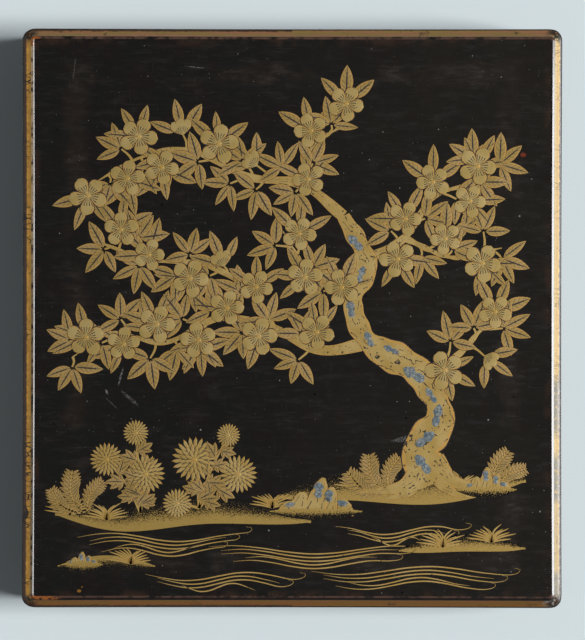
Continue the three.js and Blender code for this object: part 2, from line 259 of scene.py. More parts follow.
def lid_panel_finish(half_width, half_length):
    """The sunk panel: polished black, rubbed brown in bands along its sides, with hair scratches,
    scuffs and dust."""
    finish = Finish("lid_panel_lacquer", IOR=1.5)
    x, y, z = finish.split()
    from_side, from_end = insets(finish, half_width, half_length)
    hue = finish.mottle(0.42, 0.58, 15, detail=3, shift=77)
    # Lighter and browner towards the right, the side of the key light: painted light, broken by a
    # random cloud
    haze_and_painted_light = finish.fade(x, -45, 80) * (0.55 + 0.45 * finish.mottle(0.35, 0.62, 18, detail=4))
    level = finish.mottle(0.44, 0.66, 5, detail=6, rough=0.68, stretch=(1.8, 0.55, 1), shift=87)
    upright = finish.mottle(0.52, 0.72, 6, detail=6, rough=0.68, stretch=(0.6, 1.6, 1), shift=93)
    streaky = level.either(upright * 0.6)
    streaky = streaky * (0.35 + 0.65 * finish.mottle(0.40, 0.60, 14, detail=3, shift=101))
    off_band = abs((from_side - 3).lesser(from_end) - 19)
    band = finish.fade(off_band + 5 * finish.cloud(9, detail=4, shift=71), 10.0, 3.5)
    band = band * finish.mottle(0.38, 0.62, 13, detail=4, shift=70) * (0.45 + 0.55 * streaky)
    glow = finish.fade(from_side.lesser(from_end), 8.4, 5.0)
    glow = glow * finish.mottle(0.46, 0.66, 9, detail=4, shift=48)
    across = finish.mottle(0.60, 0.74, 0.62, stretch=(14, 0.5, 1), turn=0.02)
    upright = finish.mottle(0.65, 0.78, 0.62, stretch=(0.5, 12, 1), shift=31, turn=-0.03)
    slanted = finish.mottle(0.66, 0.78, 0.62, stretch=(0.45, 12, 1), shift=17, turn=0.6)
    scratches = most(across * finish.mottle(0.40, 0.58, 15, shift=5),
                     upright * finish.mottle(0.45, 0.60, 17, shift=35),
                     slanted * finish.mottle(0.46, 0.62, 14, shift=55))
    scuffs = finish.patches(
        (-70.2, -24.0, 4.4, 0.55, 1.30), (-75.9, -30.4, 1.5, 0.6, -1.1),
        (-66.6, -32.8, 5.6, 0.9, -0.72, 0.45), (-74.0, -35.0, 4.5, 0.35, -0.75, 0.3),
        (48, -49, 9, 1.4, 0.2, 0.6), (8.5, 80.8, 12, 0.25, 0.02), (-40, 103, 5, 0.2, -0.1),
        (-89.5, 102, 6, 0.3, 1.45, 0.4), (94.5, 60.5, 1.4, 0.7, 0.4))
    scuffs = scuffs * finish.mottle(0.38, 0.62, 0.7, detail=3)
    gathered = finish.mottle(0.47, 0.60, 15, detail=3, shift=60)
    gathered = gathered.either(finish.patch(-92, -109, 16, 7, soft=0.3))
    dust = most(finish.dots(1.9, 0.085, 0.22, shift=7) * gathered, finish.dots(6, 0.040, 0.40),
                finish.dots(11, 0.032, 0.6, shift=40), finish.dots(2.6, 0.07, 0.10, shift=25) * 0.4,
                finish.dots(2.3, 0.075, 0.22, shift=61) * 0.28)
    pits = finish.dots(9, 0.055, 0.4, shift=90)
    red = finish.patches((94.8, 67.2, 1.5, 1.1), (58.9, 65.9, 1.0, 0.8, 0, 0.5))
    amber = finish.patches((-87.2, -112.0, 1.1, 0.8), (-86.0, -110.4, 0.5, 0.5, 0, 0.6))
    colour = finish.layered(
        finish.blend(hue, rgb(0.0074, 0.0075, 0.0068), rgb(0.0090, 0.0070, 0.0064)),
        (haze_and_painted_light * 0.9, rgb(0.0135, 0.0112, 0.0086)),
        (streaky * 0.45, rgb(0.0155, 0.0128, 0.0112)),
        (band * 0.7, rgb(0.0225, 0.0145, 0.0098)),
        (glow * 0.7, rgb(0.036, 0.019, 0.012)),
        (scratches * 0.27, SCRATCH),
        (scuffs, rgb(0.150, 0.145, 0.140)),
        (dust * 0.7, rgb(0.26, 0.26, 0.25)),
        (pits, rgb(0.002, 0.002, 0.002)),
        (red, rgb(0.16, 0.03, 0.012)),
        (amber, rgb(0.22, 0.10, 0.015)))
    return finish.done(finish.cloud(24) + 0.05 * finish.cloud(1.4), 0.10, Base_Color=colour,
                       Roughness=0.17 + 0.08 * streaky + 0.10 * band + 0.35 * scuffs)


def bevel_finish(half_width, half_length):
    """Gold on the bevel under clear lacquer, cracked, and worn at its edges and at the corners; paler
    on the right, partly wear and partly painted light, and lighter towards the ridge, which is painted
    light."""
    finish = Finish("lid_bevel_gold", IOR=1.5)
    x, y, z = finish.split()
    from_side, from_end = insets(finish, half_width, half_length)
    right, left = x > 0, x < 0
    ends = finish.fade(from_side - from_end, -0.4, 0.4)
    corner = finish.fade(from_side, 8, 4) * finish.fade(from_end, 6.5, 4)
    tone = finish.cloud(2.2, detail=5, rough=0.62)
    # Towards the ridge the gold is painted lighter: painted light against the ridge's shadow on the
    # left, and on the lit right side
    upper = finish.fade(z, 43.9, 45.1)
    olive = finish.mottle(0.42, 0.58, 3, detail=3, stretch=(5, 0.6, 0.6), shift=64)
    low_rim = finish.fade(z + 0.3 * ends - 0.3 * left + 0.6 * finish.cloud(1.3, detail=3), 44.35, 44.05)
    high_rim = finish.fade(z + 0.25 * ends + 0.5 * finish.cloud(2.0, shift=9), 45.60, 45.80)
    crazed = finish.mottle(0.50, 0.62, 15, detail=3, shift=44)
    crazed = crazed.either(finish.patch(2 - half_width, -66, 8, 30)) * (1 - right * 0.6)
    cracks = finish.fade(finish.seams(3.0, stretch=(2.6, 0.8, 4)), 0.055, 0.025)
    cracks = cracks * crazed * (1 - 0.6 * ends)
    specks = finish.dots(1.7, 0.15, 0.25) * finish.mottle(0.45, 0.6, 9)
    bare = finish.mottle(0.62, 0.69, 6, detail=5, rough=0.65, shift=3)
    worn = most(low_rim, high_rim * 0.6, specks * 0.8, bare * (0.35 + 0.5 * ends))
    at = half_width - 2
    grey = finish.patches((at, -36, 8, 15), (at, -66, 8, 13), (at, -112, 8, 11),
                          (at, -90, 8, 18, 0, 0.35))
    grey = grey * finish.mottle(0.30, 0.48, 1.5, detail=4, shift=52)
    lost = corner * finish.mottle(0.40, 0.50, 1.6, detail=5, rough=0.6, shift=20)
    under = finish.blend(finish.fade(tone, 0.42, 0.54), rgb(0.040, 0.017, 0.010),
                         rgb(0.028, 0.028, 0.022))
    colour = finish.layered(
        finish.blend(finish.fade(tone, 0.34, 0.62), rgb(0.36, 0.150, 0.012), rgb(0.74, 0.375, 0.050)),
        # On the right, the side of the key light, a paler gold: partly wear, partly painted light
        (right, finish.blend(upper, rgb(0.48, 0.31, 0.100), rgb(0.80, 0.60, 0.33))),
        # On the left, a brighter gold towards the ridge: painted light against the ridge's shadow
        (left * upper * 0.6, rgb(0.88, 0.48, 0.10)),
        (ends, finish.blend(olive, rgb(0.300, 0.150, 0.070), rgb(0.250, 0.165, 0.056))),
        (finish.fade(y, 0, 0 - half_length) * ends * 0.6, rgb(0.14, 0.045, 0.001)),
        (grey * 0.85, rgb(0.26, 0.27, 0.25)),
        (worn, WORN_WOOD),
        (cracks, BROWN_BLACK),
        (lost, under))
    return finish.done(finish.cloud(0.6, detail=3) + 0.6 * bare - 0.8 * cracks, 0.012,
                       Base_Color=colour, Metallic=0.15 * (1 - worn.either(lost)),
                       Roughness=0.25 + 0.22 * finish.cloud(1.6, detail=4))


def ridge_finish(half_width, half_length):
    """The narrow ridge round the panel: black lacquer, worn to red-brown at front and back and paler
    on its outer slope on the left."""
    finish = Finish("lid_ridge_lacquer", IOR=1.42, Coat_Roughness=0.18)
    x, y, z = finish.split()
    from_side, from_end = insets(finish, half_width, half_length)
    ends = finish.fade(from_end, 6.0, 5.6)
    in_shade = finish.fade(from_end, FRONT_CREST + 0.1, FRONT_CREST - 0.1) * finish.fade(y, 0, -1)
    worn = (0.2 + 0.8 * ends) * (1 - 0.9 * in_shade)
    worn = worn * finish.mottle(0.36, 0.55, 5, detail=4, rough=0.6)
    orange = finish.patches((-106, 114, 3.4, 3), (-101, -114.5, 8, 1.6))
    orange = orange * finish.mottle(0.34, 0.5, 1.5, detail=3)
    rubbed = finish.fade(from_side, LEFT_CREST, LEFT_CREST - 0.15) * (x < 0) * (1 - ends)
    rubbed = rubbed * finish.mottle(0.30, 0.56, 3, detail=4, shift=81)
    rubbed = rubbed * (0.45 + 0.55 * finish.fade(y, 5, 45))
    colour = finish.layered(BLACK, (worn, rgb(0.085, 0.047, 0.034)),
                            (rubbed, rgb(0.42, 0.30, 0.175)), (orange, rgb(0.26, 0.085, 0.02)))
    return finish.done(finish.cloud(2.4, detail=3), 0.012, Base_Color=colour,
                       Coat_Weight=0.3 * (x > 0),
                       Roughness=0.10 + 0.16 * finish.cloud(4, detail=4) + 0.12 * ends)


def nashiji_finish():
    """Gold flakes sprinkled in amber lacquer over black, polished smooth."""
    finish = Finish("nashiji", IOR=1.5, Coat_Weight=0.6, Coat_Roughness=0.12)
    drift = finish.mottle(0.30, 0.60, 26)
    flakes = finish.dots(0.42, 0.30, 0.525).either(finish.dots(0.85, 0.28, 0.3375, shift=13))
    flakes = flakes * (0.45 + 0.55 * drift)
    amber = finish.blend(drift, rgb(0.022, 0.011, 0.006), rgb(0.060, 0.028, 0.010))
    gleam = finish.blend(finish.cloud(0.5, detail=0), rgb(0.34, 0.19, 0.05), rgb(0.85, 0.58, 0.22))
    return finish.done(Base_Color=finish.blend(flakes, amber, gleam), Metallic=flakes * 0.9,
                       Roughness=0.22 + 0.16 * flakes)


def plain_black_finish():
    """Polished black lacquer with faint handling marks."""
    finish = Finish("polished_black", IOR=1.5)
    marks = finish.mottle(0.64, 0.74, 1.0, stretch=(12, 12, 0.5), turn=0.3)
    return finish.done(finish.cloud(16), 0.04, Base_Color=finish.blend(marks * 0.4, BLACK, SCRATCH),
                       Roughness=0.15 + 0.16 * finish.cloud(9))


def gold_finish(name, lines, light=GOLD, pale=GOLD_PALE):
    """Sprinkled gold powder; lines says where it is left bare and where a highlight is painted."""
    finish = Finish(name, IOR=1.45)
    grain = finish.cloud(0.22, rough=0.6)
    rubbed = finish.mottle(0.63, 0.71, 2.4, detail=5, rough=0.7, shift=8)
    rubbed = rubbed.either(finish.dots(2.6, 0.14, 0.25, shift=2))
    along, across = finish.along()
    bare, painted_highlight = lines(finish, along, across, abs(across))
    bare = bare.either(rubbed * 0.65)
    colour = finish.layered(
        finish.blend(finish.mottle(0.35, 0.68, 9, detail=3, shift=4), light, pale),
        # A warmer, brighter gold in the band that lines marks: a painted highlight
        (finish.fade(grain, 0.46, 0.70) * 0.5, GOLD_DULL), (painted_highlight * 0.7, GOLD_PAINTED_HIGHLIGHT), (bare, LINE))
    return finish.done(grain + 0.4 * (1 - bare), 0.02, Base_Color=colour,
                       Metallic=0.6 - 0.54 * bare, Roughness=0.46 + 0.12 * grain)


def leaf_lines(finish, along, across, side):
    """Midrib, a few side veins and the outline of a leaf."""
    midrib = (side < 0.13) * (along < 0.94)
    veins = ((along * 6 - side * 1.3).cycle() < 0.13) * (side < 0.72) * (along > 0.1)
    return most(midrib, veins * 0.8, side > 0.91), between(side, 0.74, 0.91)


def petal_lines(finish, along, across, side):
    """Stamen ticks at the heart of a petal, folds near its tip, and its outline."""
    ticks = ((across * 2.5 + 0.5).cycle() < 0.36) * between(along, 0.12, 0.50) * (side < 0.75)
    return ticks.either(side > 0.86), between(side, 0.72, 0.86)


def narrow_petal_lines(finish, along, across, side):
    """The outline of a chrysanthemum's narrow petal."""
    return (side > 0.70).either(along < 0.06), along > 0.86


def bark_lines(finish, along, across, side):
    """Broken strokes and moss dots on a trunk, its dark outline and a painted highlight inside it."""
    sway = finish.cloud(5, detail=3)
    strokes = ((across * 2.0 + sway * 3.0).cycle() < 0.16) * (finish.cloud(3.0, shift=6) > 0.53)
    moss = finish.dots(2.0, 0.20, 0.45, shift=33) * (side < 0.8)
    return most(strokes, moss, side > 0.95), between(side, 0.80, 0.95)


def rock_lines(finish, along, across, side):
    """Broken, slanting strokes down a rock's face, its dark outline and a painted highlight inside it.
    """
    slant = across * 1.7 + 0.9 * along + 1.6 * finish.cloud(5, detail=3)
    strokes = (slant.cycle() < 0.13) * (finish.cloud(2.2, shift=16) > 0.47) * (along < 0.85)
    return strokes.either(side > 0.93), between(side, 0.80, 0.93)


def no_lines(finish, along, across, side):
    """Nothing bare, as side stays within 1, and a highlight painted along the middle."""
    return side > 2, side < 0.3


def bank_finish():
    """Gold powder sprinkled densely at the upper edge of a bank and thinly below it."""
    finish = Finish("sprinkled_bank", IOR=1.5)
    along, across = finish.along()
    drift = finish.cloud(9, detail=3, stretch=(3, 1, 1))
    density = finish.fade(across + 1.3 * drift - 0.65, -0.9, 0.9)
    dust = finish.fade(finish.cloud(0.28, detail=1) + 0.42 * density, 0.66, 0.76)
    return finish.done(Base_Color=finish.blend(dust, BLACK, GOLD), Metallic=dust * 0.7,
                       Roughness=0.18 + 0.30 * dust)


def shell_finish():
    """Chips of blue-grey shell, crazed with fine cracks."""
    finish = Finish("shell_inlay", IOR=1.6, Coat_Weight=0.5, Coat_Roughness=0.1)
    sheen = finish.cloud(1.6, detail=3)
    rosy = finish.mottle(0.58, 0.70, 2.1, shift=12)
    cracks = finish.seams(1.5) < 0.05
    colour = finish.layered(
        finish.blend(finish.fade(sheen, 0.35, 0.65), SHELL_BLUE, SHELL_GREY),
        (rosy * 0.5, rgb(0.34, 0.25, 0.27)), (cracks * 0.8, LINE))
    return finish.done(Base_Color=colour, Roughness=0.22 + 0.2 * sheen,
                       Metallic=0.35 * (1 - cracks))


def rim_gold_finish():
    """Gold powder on narrow rims, thin where hands have rubbed it."""
    finish = Finish("rim_gold", IOR=1.45)
    worn = finish.mottle(0.58, 0.70, 3, detail=5, rough=0.65)
    grain = finish.cloud(0.3)
    gold = finish.blend(grain, GOLD_DULL, GOLD_PALE)
    return finish.done(Base_Color=finish.blend(worn, gold, WORN_WOOD), Metallic=0.85 - 0.75 * worn,
                       Roughness=0.36 + 0.12 * grain)


def slate_finish():
    """Fine grey-violet slate, stained by ink in the well and on the land."""
    finish = Finish("slate", IOR=1.5)
    x, y, z = finish.split()
    grain = finish.mottle(0.35, 0.65, 6, detail=4, stretch=(4, 0.7, 1))
    level = z + 1.6 * finish.cloud(4, detail=4)
    film = finish.fade(level, 21.4, 20.2) * finish.mottle(0.42, 0.60, 7, detail=4, rough=0.6)
    stain = finish.fade(level, 18.5, 16.0).either(film * 0.6)
    colour = finish.layered(
        finish.blend(grain, rgb(0.040, 0.040, 0.046), rgb(0.075, 0.070, 0.078)),
        (finish.dots(1.1, 0.10, 0.25) * 0.6, rgb(0.20, 0.18, 0.15)),
        (stain, rgb(0.008, 0.008, 0.009)))
    return finish.done(finish.cloud(0.5, detail=3), 0.04, Base_Color=colour,
                       Roughness=0.55 - 0.22 * stain + 0.10 * finish.cloud(2))


def gilding(finish):
    """Gilt copper, thin and brown where it is handled: its colour, with its roughness fed."""
    thin = finish.mottle(0.50, 0.68, 5, detail=5, rough=0.62)
    gilt = finish.blend(finish.cloud(2.2, detail=3), rgb(0.66, 0.42, 0.14), rgb(0.80, 0.57, 0.25))
    finish.feed(Roughness=0.26 + 0.20 * thin + 0.08 * finish.cloud(0.7))
    return finish.blend(thin * 0.75, gilt, rgb(0.26, 0.13, 0.065))


def gilt_copper_finish(name="gilt_copper"):
    finish = Finish(name, Metallic=1.0)
    return finish.done(finish.cloud(0.8, detail=3, stretch=(1, 1, 0.3)), 0.02,
                       Base_Color=gilding(finish))


def engraved_copper_finish(middle):
    """The dropper's plate: sixteen engraved petals about the water hole and a ring-punched edge."""
    finish = Finish("engraved_copper", Metallic=1.0)
    x, y, z = finish.split()
    y = y - middle
    reach = (x * x + y * y).math("SQRT")
    swing = abs((y.math("ARCTAN2", x) * (16 / TURN)).cycle() - 0.5)
    tip = 11.5 + 2.0 * ((0.5 - swing) * math.pi).math("SINE")
    on_petals = between(reach, 4.2, 15)
    spokes = finish.fade(swing, 0.44, 0.49) * on_petals * (reach < tip)
    rim = finish.fade(abs(reach - tip), 0.34, 0.12) * on_petals
    rings = [finish.fade(abs(reach - radius), 0.3, 0.1) for radius in (17.2, 4.3)]
    cut = most(spokes, rim, *rings)
    colour = finish.blend(cut * 0.75, gilding(finish), rgb(0.12, 0.055, 0.025))
    return finish.done(1 - cut, 0.12, Base_Color=colour)


def bamboo_finish():
    """Smoked bamboo: long fibres, browner in clouds, on the brush handles."""
    finish = Finish("bamboo", IOR=1.5, Coat_Weight=0.3, Coat_Roughness=0.15)
    fibres = finish.cloud(0.5, detail=3, stretch=(1, 40, 1))
    clouds = finish.mottle(0.40, 0.64, 9, detail=3, stretch=(1, 2.2, 1))
    specks = finish.dots(1.6, 0.16, 0.2, stretch=(0.6, 1.6, 0.6))
    cane = finish.layered(
        finish.blend(fibres, rgb(0.30, 0.17, 0.055), rgb(0.50, 0.33, 0.13)),
        (clouds * 0.7, rgb(0.15, 0.06, 0.02)), (specks * 0.7, rgb(0.06, 0.025, 0.012)))
    return finish.done(fibres, 0.03, Base_Color=cane, Roughness=0.30 + 0.14 * fibres)


def horn_finish():
    """Dark buffalo horn with paler streaks, round the brushes' collars."""
    finish = Finish("horn", IOR=1.55)
    streaks = finish.mottle(0.50, 0.72, 1.0, detail=4, stretch=(1, 9, 1))
    colour = finish.blend(streaks, rgb(0.014, 0.011, 0.010), rgb(0.13, 0.085, 0.05))
    return finish.done(Base_Color=colour, Roughness=0.18 + 0.12 * streaks)


def hair_finish(name, start, end):
    """Pale hair, darkened by ink towards the point."""
    finish = Finish(name, IOR=1.5)
    x, y, z = finish.split()
    strands = finish.cloud(0.22, detail=3, stretch=(1, 60, 1))
    inked = finish.fade(y + 5 * strands, start + 0.30 * (end - start), start + 0.55 * (end - start))
    hair = finish.blend(finish.fade(strands, 0.35, 0.65), rgb(0.20, 0.12, 0.06),
                        rgb(0.52, 0.40, 0.26))
    return finish.done(strands, 0.12, Roughness=0.62 - 0.16 * inked,
                       Base_Color=finish.blend(inked * 0.93, hair, rgb(0.014, 0.012, 0.012)))


def ink_finish():
    """Pressed soot ink: matt black, finely cracked, with gilding left on the border."""
    finish = Finish("ink", IOR=1.5)
    x, y, z = finish.split()
    cracks = finish.fade(finish.seams(5, stretch=(1.4, 1, 1)), 0.035, 0.01)
    gilded = finish.fade(z, 28.82, 28.92) * finish.mottle(0.56, 0.48, 4, detail=4)
    colour = finish.layered(
        finish.blend(finish.cloud(5, detail=4), rgb(0.009, 0.009, 0.011), rgb(0.028, 0.026, 0.027)),
        (cracks * 0.6, rgb(0.003, 0.003, 0.003)), (gilded * 0.85, GOLD))
    return finish.done(1 - cracks + 0.2 * finish.cloud(0.5), 0.05, Base_Color=colour,
                       Metallic=gilded * 0.8, Roughness=0.42 + 0.16 * finish.cloud(1.5))


def red_lacquer_finish():
    """Vermilion lacquer rubbed through to black where the hand goes."""
    finish = Finish("red_lacquer", IOR=1.5, Coat_Weight=0.4, Coat_Roughness=0.08)
    rubbed = finish.mottle(0.55, 0.66, 8, detail=5, rough=0.62, stretch=(1, 2.4, 1))
    red = finish.blend(finish.cloud(6, detail=3), rgb(0.30, 0.030, 0.014), rgb(0.44, 0.062, 0.022))
    return finish.done(finish.cloud(9) - 0.3 * rubbed, 0.05, Roughness=0.24 + 0.12 * finish.cloud(3),
                       Base_Color=finish.blend(rubbed * 0.9, red, rgb(0.030, 0.012, 0.010)))


def steel_finish():
    """Polished steel, brushed across, with brown spots."""
    finish = Finish("steel")
    brushed = finish.cloud(0.3, detail=3, stretch=(14, 0.5, 14))
    rust = finish.mottle(0.60, 0.70, 4, detail=6, rough=0.7)
    metal = finish.blend(brushed, rgb(0.34, 0.34, 0.35), rgb(0.56, 0.56, 0.57))
    return finish.done(brushed, 0.015, Metallic=1 - 0.7 * rust,
                       Base_Color=finish.blend(rust * 0.8, metal, rgb(0.11, 0.055, 0.03)),
                       Roughness=0.26 + 0.12 * brushed + 0.3 * rust)


# Modelling tools


def outline(bm, width, length, radius, cuts):
    """A flat rounded rectangle in a new mesh; its edge is cut so that it can bow."""
    bmesh.ops.create_grid(bm, x_segments=1, y_segments=1, size=0.5)
    bmesh.ops.scale(bm, vec=(width, length, 1), verts=bm.verts)
    bmesh.ops.bevel(bm, geom=bm.verts[:], offset=radius, offset_type="OFFSET", affect="VERTICES",
                    segments=8, profile=0.5, material=-1)
    straight = [edge for edge in bm.edges if edge.calc_length() > 4 * radius]
    bmesh.ops.subdivide_edges(bm, edges=straight, cuts=cuts)
    bmesh.ops.delete(bm, geom=bm.faces[:], context="FACES_ONLY")


def drawn_in(point, size, inset):
    """A point of a rounded rectangle's edge, moved inwards with the corner's radius kept sound."""
    width, length, radius = size
    least = min(radius, 0.5, width / 2 - inset)
    inner = max(radius - inset, least)
    spare = inset + inner - radius
    moved = Vector(point)
    reach = Vector((abs(point.x) - (width / 2 - radius), abs(point.y) - (length / 2 - radius)))
    side = Vector((math.copysign(1, point.x), math.copysign(1, point.y)))
    if reach.x > 0.001 and reach.y > 0.001:
        for axis in (0, 1):
            centre = (size[axis] / 2 - radius - spare) * side[axis]
            moved[axis] = centre + reach[axis] / radius * inner * side[axis]
    elif reach.x > 0.001:
        moved.x -= inset * side.x
        moved.y -= spare * side.y if abs(reach.y) < 0.001 else 0
    else:
        moved.y -= inset * side.y
        moved.x -= spare * side.x if abs(reach.x) < 0.001 else 0
    return moved


def shell(size, profile, cuts=10):
    """A closed skin round a rounded rectangle, from cap to cap through (inset, height, finish)."""
    bm = bmesh.new()
    outline(bm, *size, cuts)
    home = bm.verts.layers.float_vector.new("home")
    for vert in bm.verts:
        vert[home] = vert.co
    loop = bm.edges[:]
    first = loop

    def settle(edges, inset, height):
        for vert in {vert for edge in edges for vert in edge.verts}:
            vert.co = drawn_in(Vector(vert[home]), size, inset)
            vert.co.z = height

    settle(loop, profile[0][0], profile[0][1])
    for inset, height, slot in profile[1:]:
        made = bmesh.ops.extrude_edge_only(bm, edges=loop)["geom"]
        loop = [item for item in made if isinstance(item, bmesh.types.BMEdge)]
        settle(loop, inset, height)
        for item in made:
            if isinstance(item, bmesh.types.BMFace):
                item.material_index = slot
    bmesh.ops.edgeloop_fill(bm, edges=first, mat_nr=profile[0][2])
    bmesh.ops.edgeloop_fill(bm, edges=loop, mat_nr=profile[-1][2])
    return bm


def arc(inset, height, across, rise, slot=0, outwards_first=True, steps=4):
    """Quarter-round profile points from (inset, height) to (inset + across, height + rise)."""
    points = []
    for step in range(1, steps + 1):
        turn = step / steps * TURN / 4
        if outwards_first:
            points.append((inset + across * math.sin(turn), height + rise * (1 - math.cos(turn)), slot))
        else:
            points.append((inset + across * (1 - math.cos(turn)), height + rise * math.sin(turn), slot))
    return points


def bow(bm, half_width, half_length, depth, end_depth=0.0):
    """Draws the sides in a little at their middle, as old thin boards do."""
    for vert in bm.verts:
        along = 1 - (vert.co.y / half_length) ** 2
        aside = 1 - (vert.co.x / half_width) ** 2
        vert.co.x *= 1 - depth / half_width * max(along, 0)
        vert.co.y *= 1 - end_depth / half_length * max(aside, 0)


def mesh_of(bm, name):
    mesh = bpy.data.meshes.new(name)
    bm.to_mesh(mesh)
    bm.free()
    return mesh


def added(name, data):
    """A new object in the scene."""
    made = bpy.data.objects.new(name, data)
    bpy.context.scene.collection.objects.link(made)
    return made


def finish_piece(bm, name, body, finishes, replaces=(), outwards=True):
    """Turns a mesh in millimetres into a piece in metres that rides on a body."""
    if outwards:
        bmesh.ops.recalc_face_normals(bm, faces=bm.faces[:])
    bmesh.ops.scale(bm, vec=(MM, MM, MM), verts=bm.verts)
    for face in bm.faces:
        face.smooth = True
    for edge in bm.edges:
        edge.smooth = edge.calc_face_angle(0) < math.radians(40)
    mesh = mesh_of(bm, name)
    for finish in finishes:
        mesh.materials.append(finish)
    piece = added(name, mesh)
    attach(piece, body)
    if replaces:
        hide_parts(*replaces)


def softened(node, body, finishes, width=0.4, steps=3, choose=None):
    """A CAD piece with its edges rounded over; choose(face, rounded) gives a face's finish."""
    bm = bmesh.new()
    bm.from_mesh(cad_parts[node].data)
    bmesh.ops.scale(bm, vec=(1 / MM,) * 3, verts=bm.verts)
    bmesh.ops.remove_doubles(bm, verts=bm.verts, dist=0.01)
    bmesh.ops.dissolve_limit(bm, angle_limit=math.radians(1), verts=bm.verts, edges=bm.edges)
    corners = [edge for edge in bm.edges if edge.calc_face_angle(0) > math.radians(32)]
    made = bmesh.ops.bevel(bm, geom=corners, offset=width, offset_type="OFFSET", affect="EDGES",
                           segments=steps, profile=0.5, material=-1, clamp_overlap=True)
    if choose:
        bm.normal_update()
        rounded = set(made["faces"])
        for face in bm.faces:
            face.material_index = choose(face, face in rounded)
    finish_piece(bm, node + "_softened", body, finishes, replaces=[node])


def turned(profile, sides):
    """A solid of revolution about Z from points of radius and height, closed at both ends."""
    bm = bmesh.new()
    for radius, height, *_ in profile:
        bmesh.ops.create_vert(bm, co=(radius, 0, height))
    bm.verts.ensure_lookup_table()
    for here, there in zip(bm.verts[:-1], bm.verts[1:]):
        bm.edges.new((here, there))
    bmesh.ops.spin(bm, geom=bm.verts[:] + bm.edges[:], cent=(0, 0, 0), axis=(0, 0, 1), dvec=(0, 0, 0),
                   angle=TURN, steps=sides, use_merge=True)
    bmesh.ops.remove_doubles(bm, verts=bm.verts, dist=1e-4)
    return bm


def laid_down(profile, x, from_y, z, sides=40):
    """The same, lying along Y from its front end backwards."""
    bm = turned(profile, sides)
    lay = Matrix.Translation((x, from_y, z)) @ Matrix.Rotation(-TURN / 4, 4, "X")
    bmesh.ops.transform(bm, matrix=lay, verts=bm.verts)
    return bm


# The lid

lid_low, lid_high = box_mm("lid_panel")
LID = (lid_high.x - lid_low.x, lid_high.y - lid_low.y, 5.5)
LID_WALL = 4.0
LID_FOOT = 1.2
CEILING_ROUND = 0.8
SHOULDER = lid_high.z - 3.0
PANEL = lid_high.z - 0.5
BEVEL_FROM = 1.0
BEVEL_TO = 3.65
# The ridge: how far in from the bevel, and how high above the shoulder
RIDGE_POINTS = ((0.01, 2.27), (0.02, 2.33), (0.04, 2.36), (0.08, 2.378), (0.66, 2.64), (0.72, 2.665),
                (0.78, 2.66), (0.84, 2.635), (1.14, 2.515), (1.19, 2.50))
RIDGE_WIDTH = 1.21
CREST = 0.75
# Where the bevel ends and how wide the ridge is on each side of the hand-made frame
FRAME = {"left": (3.62, 1.25), "right": (3.08, 1.37), "back": (3.25, 0.92), "front": (3.13, 1.45)}
FRAME_REACH = 6
LEFT_CREST = FRAME["left"][0] + CREST * FRAME["left"][1]
FRONT_CREST = FRAME["front"][0] + CREST * FRAME["front"][1]
LID_BOW = 0.35
END_BOW = 0.20
OUTSIDE, BEVEL, RIDGE, TOP, INSIDE = range(5)


def framed(inset, side):
    """An inset of the even profile, as it lies on one side of the frame."""
    bevel_to, spread = FRAME[side]
    if inset <= BEVEL_TO:
        return inset * bevel_to / BEVEL_TO
    return bevel_to + (inset - BEVEL_TO) * spread


def wall_nodes(name):
    return [f"{name}_{side}_wall" for side in ("right", "back", "left", "front")]


def build_lid():
    low = box_mm("lid_front_wall")[0].z
    ceiling = lid_low.z
    inner = LID_WALL + CEILING_ROUND
    profile = [(inner, ceiling, INSIDE)]
    profile += arc(inner, ceiling, -CEILING_ROUND, -CEILING_ROUND, INSIDE, True)
    profile += [(LID_WALL, low + LID_FOOT, INSIDE)]
    profile += arc(LID_WALL, low + LID_FOOT, -LID_FOOT, -LID_FOOT, OUTSIDE, False)
    profile += [(LID_FOOT, low, OUTSIDE)]
    profile += arc(LID_FOOT, low, -LID_FOOT, LID_FOOT, OUTSIDE, True)
    profile += [(0, SHOULDER, OUTSIDE)]
    profile += arc(0, SHOULDER, BEVEL_FROM, 0.75, OUTSIDE, False)
    profile[-1] = (*profile[-1][:2], BEVEL)
    profile += [(BEVEL_TO, SHOULDER + 2.25, BEVEL)]
    for inset, height in RIDGE_POINTS:
        profile.append((BEVEL_TO + inset, SHOULDER + height, RIDGE))
    profile += [(BEVEL_TO + RIDGE_WIDTH, PANEL, TOP)]
    bm = shell(LID, profile)
    half = (LID[0] / 2, LID[1] / 2)
    for vert in bm.verts:
        if vert.co.z < SHOULDER - 0.01:
            continue
        for axis, sides in enumerate((("left", "right"), ("front", "back"))):
            inset = half[axis] - abs(vert.co[axis])
            if inset < FRAME_REACH:
                placed = half[axis] - framed(inset, sides[vert.co[axis] > 0])
                vert.co[axis] = math.copysign(placed, vert.co[axis])
    bow(bm, *half, LID_BOW, END_BOW)
    finishes = [lid_outer_finish(), bevel_finish(*half), ridge_finish(*half), lid_panel_finish(*half),
                nashiji]
    finish_piece(bm, "lid_shell", "lid", finishes,
                 replaces=["lid_panel"] + wall_nodes("lid"))


# The body and the trays


